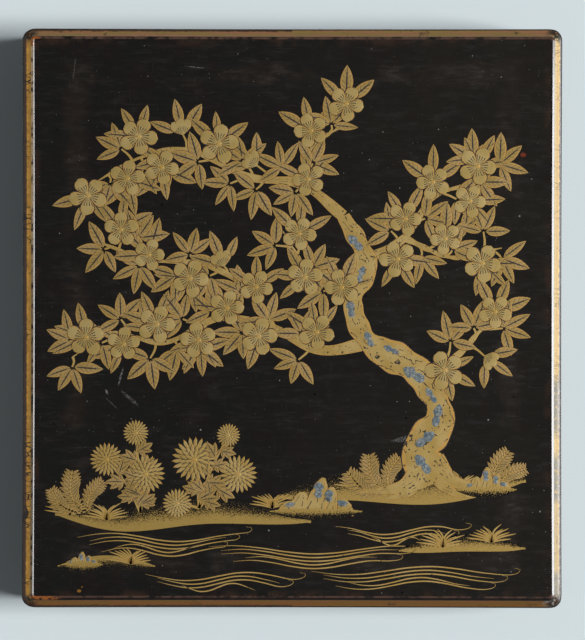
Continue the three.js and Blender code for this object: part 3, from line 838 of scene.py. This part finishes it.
def open_box(name, body, corner, wall, finishes, depth=0.0):
    """A lacquered body or tray: one skin over its floor and four walls, with rounded edges."""
    low, high = box_mm(name + "_floor")
    top = box_mm(name + "_front_wall")[1].z
    size = (high.x - low.x, high.y - low.y, corner)
    foot = 0.7
    hollow = 1.2
    rim = min(wall * 0.35, 1.0)
    outer, inner, edge = range(3)
    profile = [(foot, low.z, outer)] + arc(foot, low.z, -foot, foot, outer, True)
    profile += [(0, top - rim, outer)] + arc(0, top - rim, rim, rim, edge, False)
    profile += [(wall - rim, top, edge)] + arc(wall - rim, top, rim, -rim, edge, True)
    profile += [(wall, high.z + hollow, inner)]
    profile += arc(wall, high.z + hollow, hollow, -hollow, inner, False)
    bm = shell(size, profile)
    bow(bm, size[0] / 2, size[1] / 2, depth)
    bmesh.ops.translate(bm, vec=((low.x + high.x) / 2, 0, 0), verts=bm.verts)
    finish_piece(bm, name + "_shell", body, finishes, replaces=[name + "_floor"] + wall_nodes(name))


nashiji = nashiji_finish()
body_black = plain_black_finish()
rim_gold = rim_gold_finish()
build_lid()
open_box("body", "box_body", 2.0, 4.5, [body_black, nashiji, body_black], 0.3)
for tray in ("left_tray", "right_tray"):
    open_box(tray, tray, 2.5, 3.0, [nashiji, nashiji, rim_gold])


# The picture on the lid


def curve_points(points, steps):
    """Evenly spaced points on a smooth curve through the given ones."""
    ends = [2 * Vector(points[0]) - Vector(points[1]), 2 * Vector(points[-1]) - Vector(points[-2])]
    knots = [ends[0]] + [Vector(point) for point in points] + [ends[1]]
    fine = []
    for a, b, c, d in zip(knots, knots[1:], knots[2:], knots[3:]):
        for step in range(16):
            t = step / 16
            fine.append(0.5 * (2 * b + (c - a) * t + (2 * a - 5 * b + 4 * c - d) * t * t
                               + (3 * b - a - 3 * c + d) * t ** 3))
    fine.append(knots[-2])
    lengths = [0.0]
    for here, there in zip(fine, fine[1:]):
        lengths.append(lengths[-1] + (there - here).length)
    evenly = []
    at = 0
    for step in range(steps + 1):
        goal = lengths[-1] * step / steps
        while at < len(fine) - 2 and lengths[at + 1] < goal:
            at += 1
        span = max(lengths[at + 1] - lengths[at], 1e-9)
        evenly.append(fine[at].lerp(fine[at + 1], (goal - lengths[at]) / span))
    return evenly


def band(path, half_width, across=2, crown=0.25):
    """A plate one unit thick along a path: half_width(share) is its half width on the way."""
    steps = len(path) - 1
    bm = bmesh.new()
    bmesh.ops.create_grid(bm, x_segments=steps, y_segments=across, size=0.5)
    uv = bm.loops.layers.uv.new("UVMap")
    for face in bm.faces:
        for loop in face.loops:
            loop[uv].uv = (loop.vert.co.x + 0.5, 2 * loop.vert.co.y)
    for vert in bm.verts:
        step = round((vert.co.x + 0.5) * steps)
        side = 2 * vert.co.y
        ahead = path[min(step + 1, steps)] - path[max(step - 1, 0)]
        normal = Vector((-ahead.y, ahead.x)).normalized()
        spot = path[step] + normal * side * half_width(step / steps)
        vert.co = (spot.x, spot.y, crown * (1 - side * side))
    under = bmesh.ops.extrude_face_region(bm, geom=bm.faces[:])["geom"]
    for item in under:
        if isinstance(item, bmesh.types.BMVert):
            item.co.z = -1
    bmesh.ops.remove_doubles(bm, verts=bm.verts, dist=1e-5)
    collapsed = [face for face in bm.faces if face.calc_area() < 1e-6]
    bmesh.ops.delete(bm, geom=collapsed, context="FACES")
    bmesh.ops.recalc_face_normals(bm, faces=bm.faces[:])
    return mesh_of(bm, "shape")


def straight(steps):
    return [Vector((step / steps, 0)) for step in range(steps + 1)]


def leaf_width(share):
    return math.sin(math.pi * share ** 0.82) ** 0.85 if 0 < share < 1 else 0.0


def petal_width(share):
    if share in (0, 1):
        return 0.04 * (1 - share)
    return 0.06 + 0.94 * math.sin(math.pi * share ** 1.55) ** 0.62


def narrow_width(share):
    return (0.30 + 0.70 * share ** 0.6) * (1 - share ** 7)


def disc_width(share):
    return math.sqrt(max(1 - (2 * share - 1) ** 2, 0))


def chip_width(share):
    return disc_width(share) * (0.85 + 0.25 * math.sin(11 * share) + 0.12 * math.sin(23 * share))


def crag_width(share):
    ledges = 0.10 * (share > 0.34) + 0.12 * (share > 0.62)
    return 1.0 - 0.12 * share - ledges - 0.50 * share ** 6 + 0.04 * math.sin(19 * share)


class Inlay:
    """One kind of gold or shell work on the lid, gathered in a single mesh."""

    made = []

    def __init__(self, name, finish):
        self.name = name
        self.finish = finish
        self.bm = bmesh.new()
        Inlay.made.append(self)

    def stamp(self, shape, x=0.0, y=0.0, turn=0.0, length=1.0, width=1.0, height=0.05):
        """Adds a copy of a shape whose top stands height above the panel."""
        first = len(self.bm.verts)
        self.bm.from_mesh(shape)
        self.bm.verts.ensure_lookup_table()
        place = (Matrix.Translation((x, y, PANEL + height)) @ Matrix.Rotation(turn, 4, "Z")
                 @ Matrix.Diagonal((length, width, height + SUNK, 1)))
        bmesh.ops.transform(self.bm, matrix=place, verts=self.bm.verts[first:])

    def stroke(self, points, half_width, height=0.05, steps=24, across=2, crown=0.25):
        self.stamp(band(curve_points(points, steps), half_width, across, crown), height=height)

    def finished(self):
        finish_piece(self.bm, self.name, "lid", [self.finish], outwards=False)


# How deep the gold is let into the panel, and how far from the middle the twigs reach
SUNK = 0.02
PICTURE_HALF = (97, 106)

PETAL = band(straight(8), petal_width)
LEAF = band(straight(8), leaf_width)
NARROW = band(straight(5), narrow_width)
DISC = band(straight(10), disc_width)
CHIP = band(straight(14), chip_width)
CRAG = band(straight(16), crag_width)

gold_branches = Inlay("gold_branches", gold_finish("gold_bark", bark_lines))
gold_leaves = Inlay("gold_leaves", gold_finish("gold_leaf", leaf_lines, rgb(0.325, 0.215, 0.060),
                                               rgb(0.390, 0.262, 0.100)))
gold_petals = Inlay("gold_blossoms", gold_finish("gold_petal", petal_lines, rgb(0.365, 0.262, 0.083),
                                                 rgb(0.435, 0.325, 0.130)))
gold_narrow = Inlay("gold_chrysanthemums", gold_finish("gold_narrow_petal", narrow_petal_lines))
gold_rocks = Inlay("gold_rocks", gold_finish("gold_rock", rock_lines))
gold_plain = Inlay("gold_lines", gold_finish("gold_line", no_lines))
banks = Inlay("sprinkled_banks", bank_finish())
shell_chips = Inlay("shell_chips", shell_finish())
taken = {"blossom": [], "spray": []}


def away(x, y, angle, distance):
    """The point that lies at a distance in a direction from another."""
    return x + distance * math.cos(angle), y + distance * math.sin(angle)


def taper(start, end):
    return lambda share: start + (end - start) * share


def pointed(width):
    return lambda share: width * math.sin(math.pi * min(max(share, 0.02), 0.98)) ** 0.6


def thread(points, half_width, steps):
    """A thin gold line."""
    gold_plain.stroke(points, half_width, height=0.06, steps=steps, across=1)


def heart(x, y, radius, height):
    gold_plain.stamp(DISC, x - radius * 0.13, y, 0, radius * 0.26, radius * 0.13, height)


def blossom(x, y, radius, height):
    """Five round petals about a heart."""
    turn = chance.uniform(0, TURN)
    for petal in range(5):
        angle = turn + petal * TURN / 5
        gold_petals.stamp(PETAL, *away(x, y, angle, 0.06 * radius), angle,
                          radius * chance.uniform(0.90, 1.0), radius * 0.41,
                          height + 0.012 * (petal % 3))
    heart(x, y, radius, height + 0.05)


def bud(x, y, turn, size, height):
    """A half-open blossom: three petals that lean one way."""
    for lean in (-0.55, 0.55, 0.0):
        gold_petals.stamp(PETAL, x, y, turn + lean, size, size * 0.34, height + 0.02 * (lean == 0))


def chrysanthemum(x, y, radius, height=0.12):
    """Three rings of narrow petals about a small disc."""
    turn = chance.uniform(0, TURN)
    for count, reach, lift in ((22, 1.0, 0.0), (16, 0.66, 0.05), (9, 0.38, 0.09)):
        for petal in range(count):
            angle = turn + petal * TURN / count
            gold_narrow.stamp(NARROW, *away(x, y, angle, 0.08 * radius), angle,
                              radius * reach * 0.92, radius * reach * 0.145 * 22 / count * 0.92,
                              height + lift)
        turn += 0.5 * TURN / count
    heart(x, y, radius, height + 0.12)


def point_on(path, share):
    place = share * (len(path) - 1)
    step = min(int(place), len(path) - 2)
    ahead = path[step + 1] - path[step]
    return path[step].lerp(path[step + 1], place - step), math.atan2(ahead.y, ahead.x)


# Routes of the old plum tree, from the ground upwards, in millimetres on the panel
TRUNK = [(58, -68), (53, -54), (61, -40), (52, -22), (32, -10), (25, 6), (30, 24), (21, 42)]
LIMBS = [
    ([(21, 42), (4, 55), (-18, 58), (-42, 69), (-62, 66), (-82, 55)], 5.0),
    ([(30, 24), (46, 33), (58, 50), (74, 56), (86, 68)], 4.4),
    ([(32, -10), (12, -13), (-8, -4), (-30, 0), (-52, -10), (-74, -6), (-90, -16)], 5.6),
    ([(-8, -4), (-18, 12), (-36, 22), (-58, 24), (-82, 32)], 3.6),
    ([(52, -22), (68, -15), (80, -3), (93, -4)], 4.0),
    ([(25, 6), (8, 18), (-4, 36)], 3.0),
    ([(46, 33), (66, 25), (86, 29)], 2.8),
    ([(4, 55), (8, 70), (22, 80)], 2.6),
]
ROOTS = (((59, -58), (67, -67), (84, -70)), ((57, -61), (64, -70), (74, -73.5)),
         ((53, -60), (45, -69), (27, -71.5)), ((54, -62), (48, -71), (38, -74)))


def trunk_width(share):
    knots = 0.9 * math.sin(share * 17) + 0.6 * math.sin(share * 41) + 0.35 * math.sin(share * 83)
    return 8.4 - 5.0 * share ** 0.8 + knots


def limb_width(width):
    return lambda share: ((width * 0.5 - 0.4) * (1 - share ** 0.8) + 0.4
                          + 0.2 * math.sin(share * 37))


def build_tree():
    gold_branches.stroke(TRUNK, trunk_width, height=0.10, steps=90, across=4)
    for root in ROOTS:
        gold_branches.stroke(root, taper(4.2, 0.25), height=0.105, steps=30, across=4)
    path = curve_points(TRUNK, 60)
    for share in (0.07, 0.15, 0.24, 0.31, 0.40, 0.50, 0.58, 0.69, 0.80, 0.91):
        spot, turn = point_on(path, share)
        size = chance.uniform(8, 12) * (1 - 0.35 * share)
        side = chance.uniform(-0.35, 0.35) * trunk_width(share)
        lean = turn + chance.uniform(-0.35, 0.35)
        start = away(*away(*spot, turn + TURN / 4, side), lean, -0.5 * size)
        shell_chips.stamp(CHIP, *start, lean, size, size * chance.uniform(0.18, 0.26), 0.16)
    for route, width in LIMBS:
        gold_branches.stroke(route, limb_width(width), height=0.08, steps=70)
    for route, width in LIMBS:
        dress_limb(curve_points(route, 60))


def spaced(kind, point, gap):
    """True where nothing of this kind is near yet."""
    here = Vector(point)
    if abs(here.x) > PICTURE_HALF[0] or abs(here.y) > PICTURE_HALF[1]:
        return False
    if any((here - other).length < gap for other in taken[kind]):
        return False
    taken[kind].append(here)
    return True


def dress_limb(path):
    """Twigs, leaves, buds and blossoms along one limb."""
    length = sum((b - a).length for a, b in zip(path, path[1:]))
    stations = int(length / 4.5)
    for station in range(stations + 1):
        share = 0.16 + 0.84 * station / stations
        spot, turn = point_on(path, min(share, 0.999))
        side = 1 if station % 2 else -1
        lean = turn + side * chance.uniform(0.6, 1.6)
        tip = away(*spot, lean, chance.uniform(2, 9))
        blooming = spaced("blossom", tip, 14.5)
        if not blooming and not spaced("spray", tip, 9.5):
            continue
        thread([spot, ((spot.x + tip[0]) / 2 + 0.6, (spot.y + tip[1]) / 2), tip], taper(0.55, 0.35), 8)
        leaves = 3 if blooming else 4
        for number in range(leaves):
            angle = lean + (number - (leaves - 1) / 2) * chance.uniform(0.75, 1.05)
            start = away(*tip, angle, 3.5 if blooming else 0.8)
            size = chance.uniform(9.5, 12.5)
            gold_leaves.stamp(LEAF, *start, angle, size, size * chance.uniform(0.18, 0.24),
                              0.11 + 0.012 * number)
        if not blooming:
            continue
        if station % 5 == 4:
            bud(*tip, lean, chance.uniform(6, 7), 0.17)
        else:
            blossom(*tip, chance.uniform(6.6, 8.2), 0.19)


def grass(x, y, count=13, reach=9, spread=1.3):
    """A tuft of thin blades that fan out from the ground."""
    for blade in range(count):
        lean = math.pi / 2 + spread * (blade / (count - 1) - 0.5) * 2
        length = reach * chance.uniform(0.7, 1.0)
        bend = 0.25 * length * (1 if lean < math.pi / 2 else -1)
        tip = (x + length * math.cos(lean) + bend, y + length * math.sin(lean) * 0.9)
        middle = (x + 0.5 * length * math.cos(lean), y + 0.55 * length * math.sin(lean))
        thread([(x, y), middle, tip], pointed(0.34), 8)


def fern(x, y, turn, reach):
    """A frond: paired narrow leaflets on a curved stem."""
    stem = [(x, y), away(x, y, turn + 0.3, 0.5 * reach), away(x, y, turn, reach)]
    path = curve_points(stem, 24)
    thread(stem, taper(0.4, 0.2), 12)
    for step in range(1, 12):
        spot, ahead = point_on(path, step / 12)
        size = reach * 0.30 * math.sin(math.pi * (1 - step / 13)) ** 0.6
        for side in (1, -1):
            gold_leaves.stamp(LEAF, *spot, ahead + side * 0.95, size, size * 0.17, 0.07)


def rocks(x, y, wide, tall):
    """A group of upright crags, shell on some faces."""
    crags = ((-0.08, 1.0, 0.24), (-0.62, 0.55, 0.27), (0.42, 0.72, 0.22), (-1.05, 0.28, 0.26),
             (0.98, 0.36, 0.30))
    for number, (aside, rise, fat) in enumerate(crags):
        lean = math.pi / 2 - 0.16 - 0.16 * aside + chance.uniform(-0.12, 0.12)
        foot = (x + aside * wide * 0.5, y + 0.8 * abs(aside))
        gold_rocks.stamp(CRAG, *foot, lean, tall * rise, wide * fat, 0.16 - 0.015 * number)
        if number != 1:
            shell_chips.stamp(CHIP, *away(*foot, lean, tall * rise * 0.42), lean + 0.2,
                              tall * rise * 0.46, wide * fat * 0.42, 0.24)
    bank([(x - wide * 0.95, y + 0.6), (x, y - 0.4), (x + wide * 0.95, y + 0.6)], 2.3, 0.26, 40)


def bank(points, width, height=0.05, steps=60):
    banks.stroke(points, pointed(width), height, steps, across=6, crown=0)


def lobed_leaf(x, y, turn, size, height):
    """A chrysanthemum's leaf: five blunt lobes about a midrib."""
    for lean, reach, start in ((1.15, 0.50, 0.10), (-1.15, 0.50, 0.10), (0.62, 0.66, 0.22),
                               (-0.62, 0.66, 0.22), (0, 1.0, 0.0)):
        gold_leaves.stamp(LEAF, *away(x, y, turn, start * size), turn + lean, size * reach,
                          size * reach * 0.23, height)
        height += 0.008


def chrysanthemum_plant(foot, flowers):
    """Stems from one foot, each with leaves on both sides and a flower at its end."""
    for x, y, radius in flowers:
        bend = ((foot[0] + x) / 2 + 0.12 * (foot[0] - x), (foot[1] + y) / 2)
        stem = [foot, bend, (x, y)]
        thread(stem, taper(0.55, 0.40), 14)
        path = curve_points(stem, 30)
        length = (Vector(foot) - Vector((x, y))).length
        for number in range(int((length - radius) / 3.6)):
            spot, turn = point_on(path, (number + 1) * 3.6 / length)
            side = 1 if number % 2 else -1
            lobed_leaf(*spot, turn + side * chance.uniform(0.9, 1.3), chance.uniform(6.5, 8.5),
                       0.07 + 0.01 * number)
        chrysanthemum(x, y, radius)


def build_ground():
    bank([(96, -66), (60, -70), (24, -69), (-6, -73)], 6.5)
    bank([(8, -83), (-34, -79), (-70, -83), (-97, -80)], 5.5)
    bank([(96, -94), (70, -92), (44, -95)], 3.6)
    bank([(-96, -102), (-76, -100), (-56, -102)], 2.6)
    chrysanthemum_plant((-62, -80), ((-76, -58, 7.0), (-60, -64, 8.2), (-64, -47, 5.4)))
    chrysanthemum_plant((-38, -78), ((-40, -58, 9.4), (-22, -64, 8.0), (-47, -76, 6.2),
                                     (-26, -48, 5.0)))
    rocks(10, -80, 20, 15)
    rocks(80, -71, 13, 10)
    rocks(-86, -102, 9, 6)
    for frond in ((38, -72, 2.6, 18), (39, -72, 2.0, 18), (40, -72, 1.3, 16), (83, -70, 1.2, 17),
                  (84, -70, 0.6, 15), (-86, -80, 1.8, 18), (-88, -80, 2.4, 15), (-84, -80, 1.1, 15)):
        fern(*frond)
    for tuft in ((27, -70), (70, -70), (-91, -81), (-8, -78), (62, -94), (82, -92), (-76, -83),
                 (-66, -101)):
        grass(*tuft)


def build_stream():
    """Groups of thin lines that run together and curl at their ends."""
    groups = ((-88, -90, 66, 5, 0.0), (-34, -95, 84, 5, 0.8), (18, -87, 50, 4, 1.7),
              (-60, -106, 60, 4, 2.6), (8, -103.5, 80, 5, 3.3))
    for x, y, reach, count, phase in groups:
        for line in range(count):
            drop = y - 1.5 * line
            inset = 5 * line * (1 if line % 2 else 0.5)
            points = []
            for step in range(9):
                share = step / 8
                points.append((x + inset + (reach - 2 * inset) * share,
                               drop + 1.7 * math.sin(phase + TURN * share * 1.2)))
            if line % 2 == 0:
                tip = points[-1]
                for ahead, rise in ((4.5, 0.6), (5.8, 2.2), (3.4, 2.8)):
                    points.append((tip[0] + ahead, tip[1] + rise))
            gold_plain.stroke(points, pointed(0.27), steps=70, across=1)


build_tree()
build_ground()
build_stream()
for inlay in Inlay.made:
    inlay.finished()


# The baseboard, the inkstone and the water dropper


def board_face(face, rounded):
    """Gold on the rounded edges of the upper side, sprinkled lacquer elsewhere."""
    return 1 if rounded and face.normal.z > 0.1 else 0


def smooth_step(value, low, high):
    share = min(max((value - low) / (high - low), 0), 1)
    return share * share * (3 - 2 * share)


def build_inkstone():
    low, high = box_mm("inkstone")
    size = (high.x - low.x, high.y - low.y, 7.0)
    top = high.z
    rim = 5.0
    land_depth = 1.6
    well_depth = 11
    well_from, well_to = 13, 37
    profile = [(0.8, low.z, 0)] + arc(0.8, low.z, -0.8, 0.8)
    profile += [(0, top - 1.5, 0)] + arc(0, top - 1.5, 1.5, 1.5, 0, False)
    profile += [(rim - 0.8, top, 0)] + arc(rim - 0.8, top, 0.8, -0.8)
    steps = [5.3, 5.7, 6.2, 6.8, 7.4, 8.0, 9, 11, 14, 18, 22, 26, 29, 31, size[0] / 2 - 0.02]
    profile += [(inset, top - 0.9, 0) for inset in steps]
    bm = shell(size, profile, cuts=48)
    for vert in bm.verts:
        inset = min(size[0] / 2 - abs(vert.co.x), size[1] / 2 - abs(vert.co.y))
        if top - 1 < vert.co.z < top - 0.7 and inset > rim + 0.1:
            y = vert.co.y
            land = land_depth + (y + 50) / 62 * 1.2 + 0.25 * math.sin(inset / 32 * TURN / 4)
            depth = land + (well_depth - land_depth) * smooth_step(y, well_from, well_to)
            slope = smooth_step(inset, rim, rim + 1.4 + depth * 0.16)
            vert.co.z = top - 0.8 - (depth - 0.8) * slope
    seam = [vert for vert in bm.verts if abs(vert.co.x) < 0.3]
    bmesh.ops.remove_doubles(bm, verts=seam, dist=0.12)
    bmesh.ops.translate(bm, vec=(0, (low.y + high.y) / 2, 0), verts=bm.verts)
    finish_piece(bm, "inkstone_slab", "inkstone", [slate_finish()], replaces=["inkstone"])


def build_dropper():
    low, high = box_mm("dropper_cup")
    middle = (low.y + high.y) / 2
    radius, wall, foot = high.x, 1.25, 3.2
    profile = [(0, low.z + 0.5), (radius - 5, low.z + 0.5), (radius - 4.5, low.z),
               (radius - foot, low.z)]
    profile += arc(radius - foot, low.z, foot, foot, steps=8)
    profile += [(radius, high.z - 0.15), (radius - 0.15, high.z), (radius - wall + 0.15, high.z),
                (radius - wall, high.z - 0.15), (radius - wall, low.z + 3),
                (radius - wall - 1.5, low.z + wall + 0.3), (0, low.z + wall + 0.3)]
    bm = turned(profile, 96)
    bmesh.ops.translate(bm, vec=(0, middle, 0), verts=bm.verts)
    copper = gilt_copper_finish("gilt_copper_cup")
    finish_piece(bm, "dropper_cup_spun", "dropper", [copper], replaces=["dropper_cup"])
    softened("dropper_plate", "dropper", [engraved_copper_finish(middle)], width=0.2)


# Brushes, ink stick, paper knife and awl

KNOTS = (18, 74, 132)


def lying(node):
    """The front end's y, the radius and the length of a round part that lies along Y."""
    low, high = box_mm(node)
    return low.y, (high.x - low.x) / 2, high.y - low.y


def build_brush(name):
    low, high = box_mm(name + "_handle")
    x, z = (low.x + high.x) / 2, (low.z + high.z) / 2
    front, radius, length = lying(name + "_handle")
    profile = [(0, 0.6), (1.4, 0.5), (1.8, 0.0)] + arc(1.8, 0, radius - 2.2, 0.9, steps=6)
    for step in range(4, 150):
        at = length * step / 150
        swell = sum(math.exp(-((at - knot) / 1.0) ** 2) for knot in KNOTS)
        groove = sum(math.exp(-((at - knot - 1.6) / 0.35) ** 2) for knot in KNOTS)
        profile.append((radius - 0.2 + 0.2 * swell - 0.35 * groove, at))
    profile += [(radius - 0.3, length - 0.4), (radius - 0.7, length), (0, length)]
    finish_piece(laid_down(profile, x, front, z), name + "_cane", name,
                 [bamboo], replaces=[name + "_handle"])
    front, neck, length = lying(name + "_collar")
    profile = [(0, 0), (neck - 0.3, 0), (neck, 0.3), (neck, 0.9), (neck - 0.35, 1.3),
               (neck - 0.35, length - 2.2), (neck, length - 1.6), (neck, length - 0.4),
               (neck - 0.4, length), (0, length)]
    finish_piece(laid_down(profile, x, front, z), name + "_ferrule", name,
                 [horn], replaces=[name + "_collar"])
    front, belly, length = lying(name + "_tuft")
    profile = [(0, -0.2), (neck - 0.9, -0.2)]
    for step in range(25):
        share = step / 24
        fullness = math.sin(math.pi * min(0.32 + 0.68 * share, 1) ** 1.25) ** 0.8
        profile.append((max(belly * fullness * (1 - share ** 9), 0.0), length * share))
    bm = laid_down(profile, x, front, z, 56)
    for vert in bm.verts:
        angle = math.atan2(vert.co.z - z, vert.co.x - x)
        share = (vert.co.y - front) / length
        ridge = 1 + 0.035 * math.sin(angle * 14) * math.sin(math.pi * min(max(share, 0), 1))
        vert.co.x = x + (vert.co.x - x) * min(ridge, 1.0)
        vert.co.z = z + (vert.co.z - z) * min(ridge, 1.0)
    hair = hair_finish(name + "_hair", front, front + length)
    finish_piece(bm, name + "_hair", name, [hair], replaces=[name + "_tuft"])


def build_ink_stick():
    low, high = box_mm("ink_stick")
    bm = bmesh.new()
    bmesh.ops.create_cube(bm, size=1)
    bmesh.ops.scale(bm, vec=high - low, verts=bm.verts)
    bmesh.ops.translate(bm, vec=(low + high) / 2, verts=bm.verts)
    upright = [edge for edge in bm.edges if abs(edge.verts[0].co.z - edge.verts[1].co.z) > 1]
    bmesh.ops.bevel(bm, geom=upright, offset=3, offset_type="OFFSET", affect="EDGES", segments=8,
                    profile=0.5, material=-1)
    for level in (low.z, high.z):
        face = max((face for face in bm.faces if abs(face.calc_center_median().z - level) < 0.01),
                   key=lambda face: face.calc_area())
        bmesh.ops.bevel(bm, geom=face.edges[:], offset=0.8, offset_type="OFFSET", affect="EDGES",
                        segments=4, profile=0.5, material=-1)
    bm.faces.ensure_lookup_table()
    face = max(bm.faces, key=lambda face: (round(face.calc_center_median().z, 2), face.calc_area()))
    bmesh.ops.inset_region(bm, faces=[face], thickness=1.2, depth=0)
    bmesh.ops.inset_region(bm, faces=[face], thickness=0.4, depth=-0.5)
    finish_piece(bm, "ink_stick_moulded", "ink_stick", [ink_finish()], replaces=["ink_stick"])


def build_knife():
    softened("knife_handle", "knife", [red_lacquer], width=0.7, steps=4)
    softened("knife_collar", "knife", [gilt_copper], width=0.3)
    softened("knife_blade", "knife", [steel], width=0.12, steps=2)


def build_awl():
    low, high = box_mm("awl_handle")
    x, z = (low.x + high.x) / 2, (low.z + high.z) / 2
    front, radius, length = lying("awl_handle")
    profile = [(0, 0.0), (1.5, 0.05)] + arc(1.5, 0.05, radius - 1.5, 3.2, steps=8)
    for step in range(3, 40):
        share = step / 40
        profile.append((radius - 0.5 * math.sin(math.pi * share) ** 2, length * share))
    profile += [(radius - 0.3, length - 1.6), (radius - 1.0, length), (0, length)]
    finish_piece(laid_down(profile, x, front, z), "awl_grip", "awl", [red_lacquer],
                 replaces=["awl_handle"])
    front, neck, length = lying("awl_collar")
    profile = [(0, 0), (neck - 0.1, 0), (neck, 0.2), (neck, 1.2), (neck - 0.25, 1.5),
               (neck - 0.25, 3.0), (neck, 3.3), (neck, length - 1.4), (neck - 1.0, length - 0.1),
               (0, length)]
    finish_piece(laid_down(profile, x, front, z), "awl_ring", "awl", [gilt_copper],
                 replaces=["awl_collar"])
    front, shank, length = lying("awl_point")
    profile = [(0, 0), (shank, 0), (shank, length * 0.35)]
    for step in range(1, 13):
        share = step / 12
        profile.append((shank * (1 - share ** 1.4), length * (0.35 + 0.65 * share)))
    finish_piece(laid_down(profile, x, front, z, 24), "awl_spike", "awl", [steel],
                 replaces=["awl_point"])


bamboo = bamboo_finish()
horn = horn_finish()
steel = steel_finish()
red_lacquer = red_lacquer_finish()
gilt_copper = gilt_copper_finish()
softened("baseboard", "baseboard", [nashiji, rim_gold], choose=board_face)
for side in ("left", "right"):
    softened(f"baseboard_{side}_batten", "baseboard", [body_black])
    for end in ("front", "back"):
        softened(f"{side}_tray_{end}_rest", f"{side}_tray", [nashiji, rim_gold],
                 width=0.3, choose=board_face)
build_inkstone()
build_dropper()
build_brush("brush_1")
build_brush("brush_2")
build_ink_stick()
build_knife()
build_awl()


# Floor, light and camera


def build_floor():
    bm = bmesh.new()
    bmesh.ops.create_grid(bm, x_segments=1, y_segments=1, size=4.0)
    mesh = mesh_of(bm, "floor")
    mesh.materials.append(Finish("pale_floor", Roughness=0.9, Base_Color=FLOOR).material)
    added("floor", mesh)


def build_light(name, at, size, power, aim=(0, 0, 0.03)):
    lamp = bpy.data.lights.new(name, "AREA")
    lamp.shape = "RECTANGLE"
    lamp.size, lamp.size_y = size
    lamp.energy = power
    light = added(name, lamp)
    light.location = at
    light.rotation_euler = (Vector(aim) - Vector(at)).to_track_quat("-Z", "Y").to_euler()
    light.visible_camera = False


# The photograph: its height in pixels, a pixel at the shoulder in metres, and where its middle lies
# from the box's, in pixels
PHOTO_HEIGHT = 640
PIXEL = 0.4110 * MM
PHOTO_MIDDLE = (0.55, -1.7)
PHOTO_TILT = 0.08
VIEW_HEIGHT = 1.6
SENSOR = 36.0


def build_camera():
    camera = bpy.data.cameras.new("camera")
    camera.sensor_fit = "VERTICAL"
    camera.sensor_height = SENSOR
    camera.lens = SENSOR * VIEW_HEIGHT / (PHOTO_HEIGHT * PIXEL)
    eye = added("camera", camera)
    eye.location = (PHOTO_MIDDLE[0] * PIXEL, PHOTO_MIDDLE[1] * PIXEL, SHOULDER * MM + VIEW_HEIGHT)
    eye.rotation_euler = (0, 0, math.radians(PHOTO_TILT))
    bpy.context.scene.camera = eye


def build_world():
    world = bpy.data.worlds.new("studio")
    world.use_nodes = True
    backdrop = world.node_tree.nodes["Background"]
    backdrop.inputs["Color"].default_value = (0.93, 0.97, 1.0, 1.0)
    backdrop.inputs["Strength"].default_value = 0.06
    bpy.context.scene.world = world


build_floor()
build_light("key_window", (5.79, -0.20, 6.92), (2.5, 5.04), 965)
build_light("left_reflector", (-2.05, 0.0, 1.40), (2.0, 0.8), 4.5)
build_camera()
build_world()
bpy.context.scene.view_settings.view_transform = "Standard"
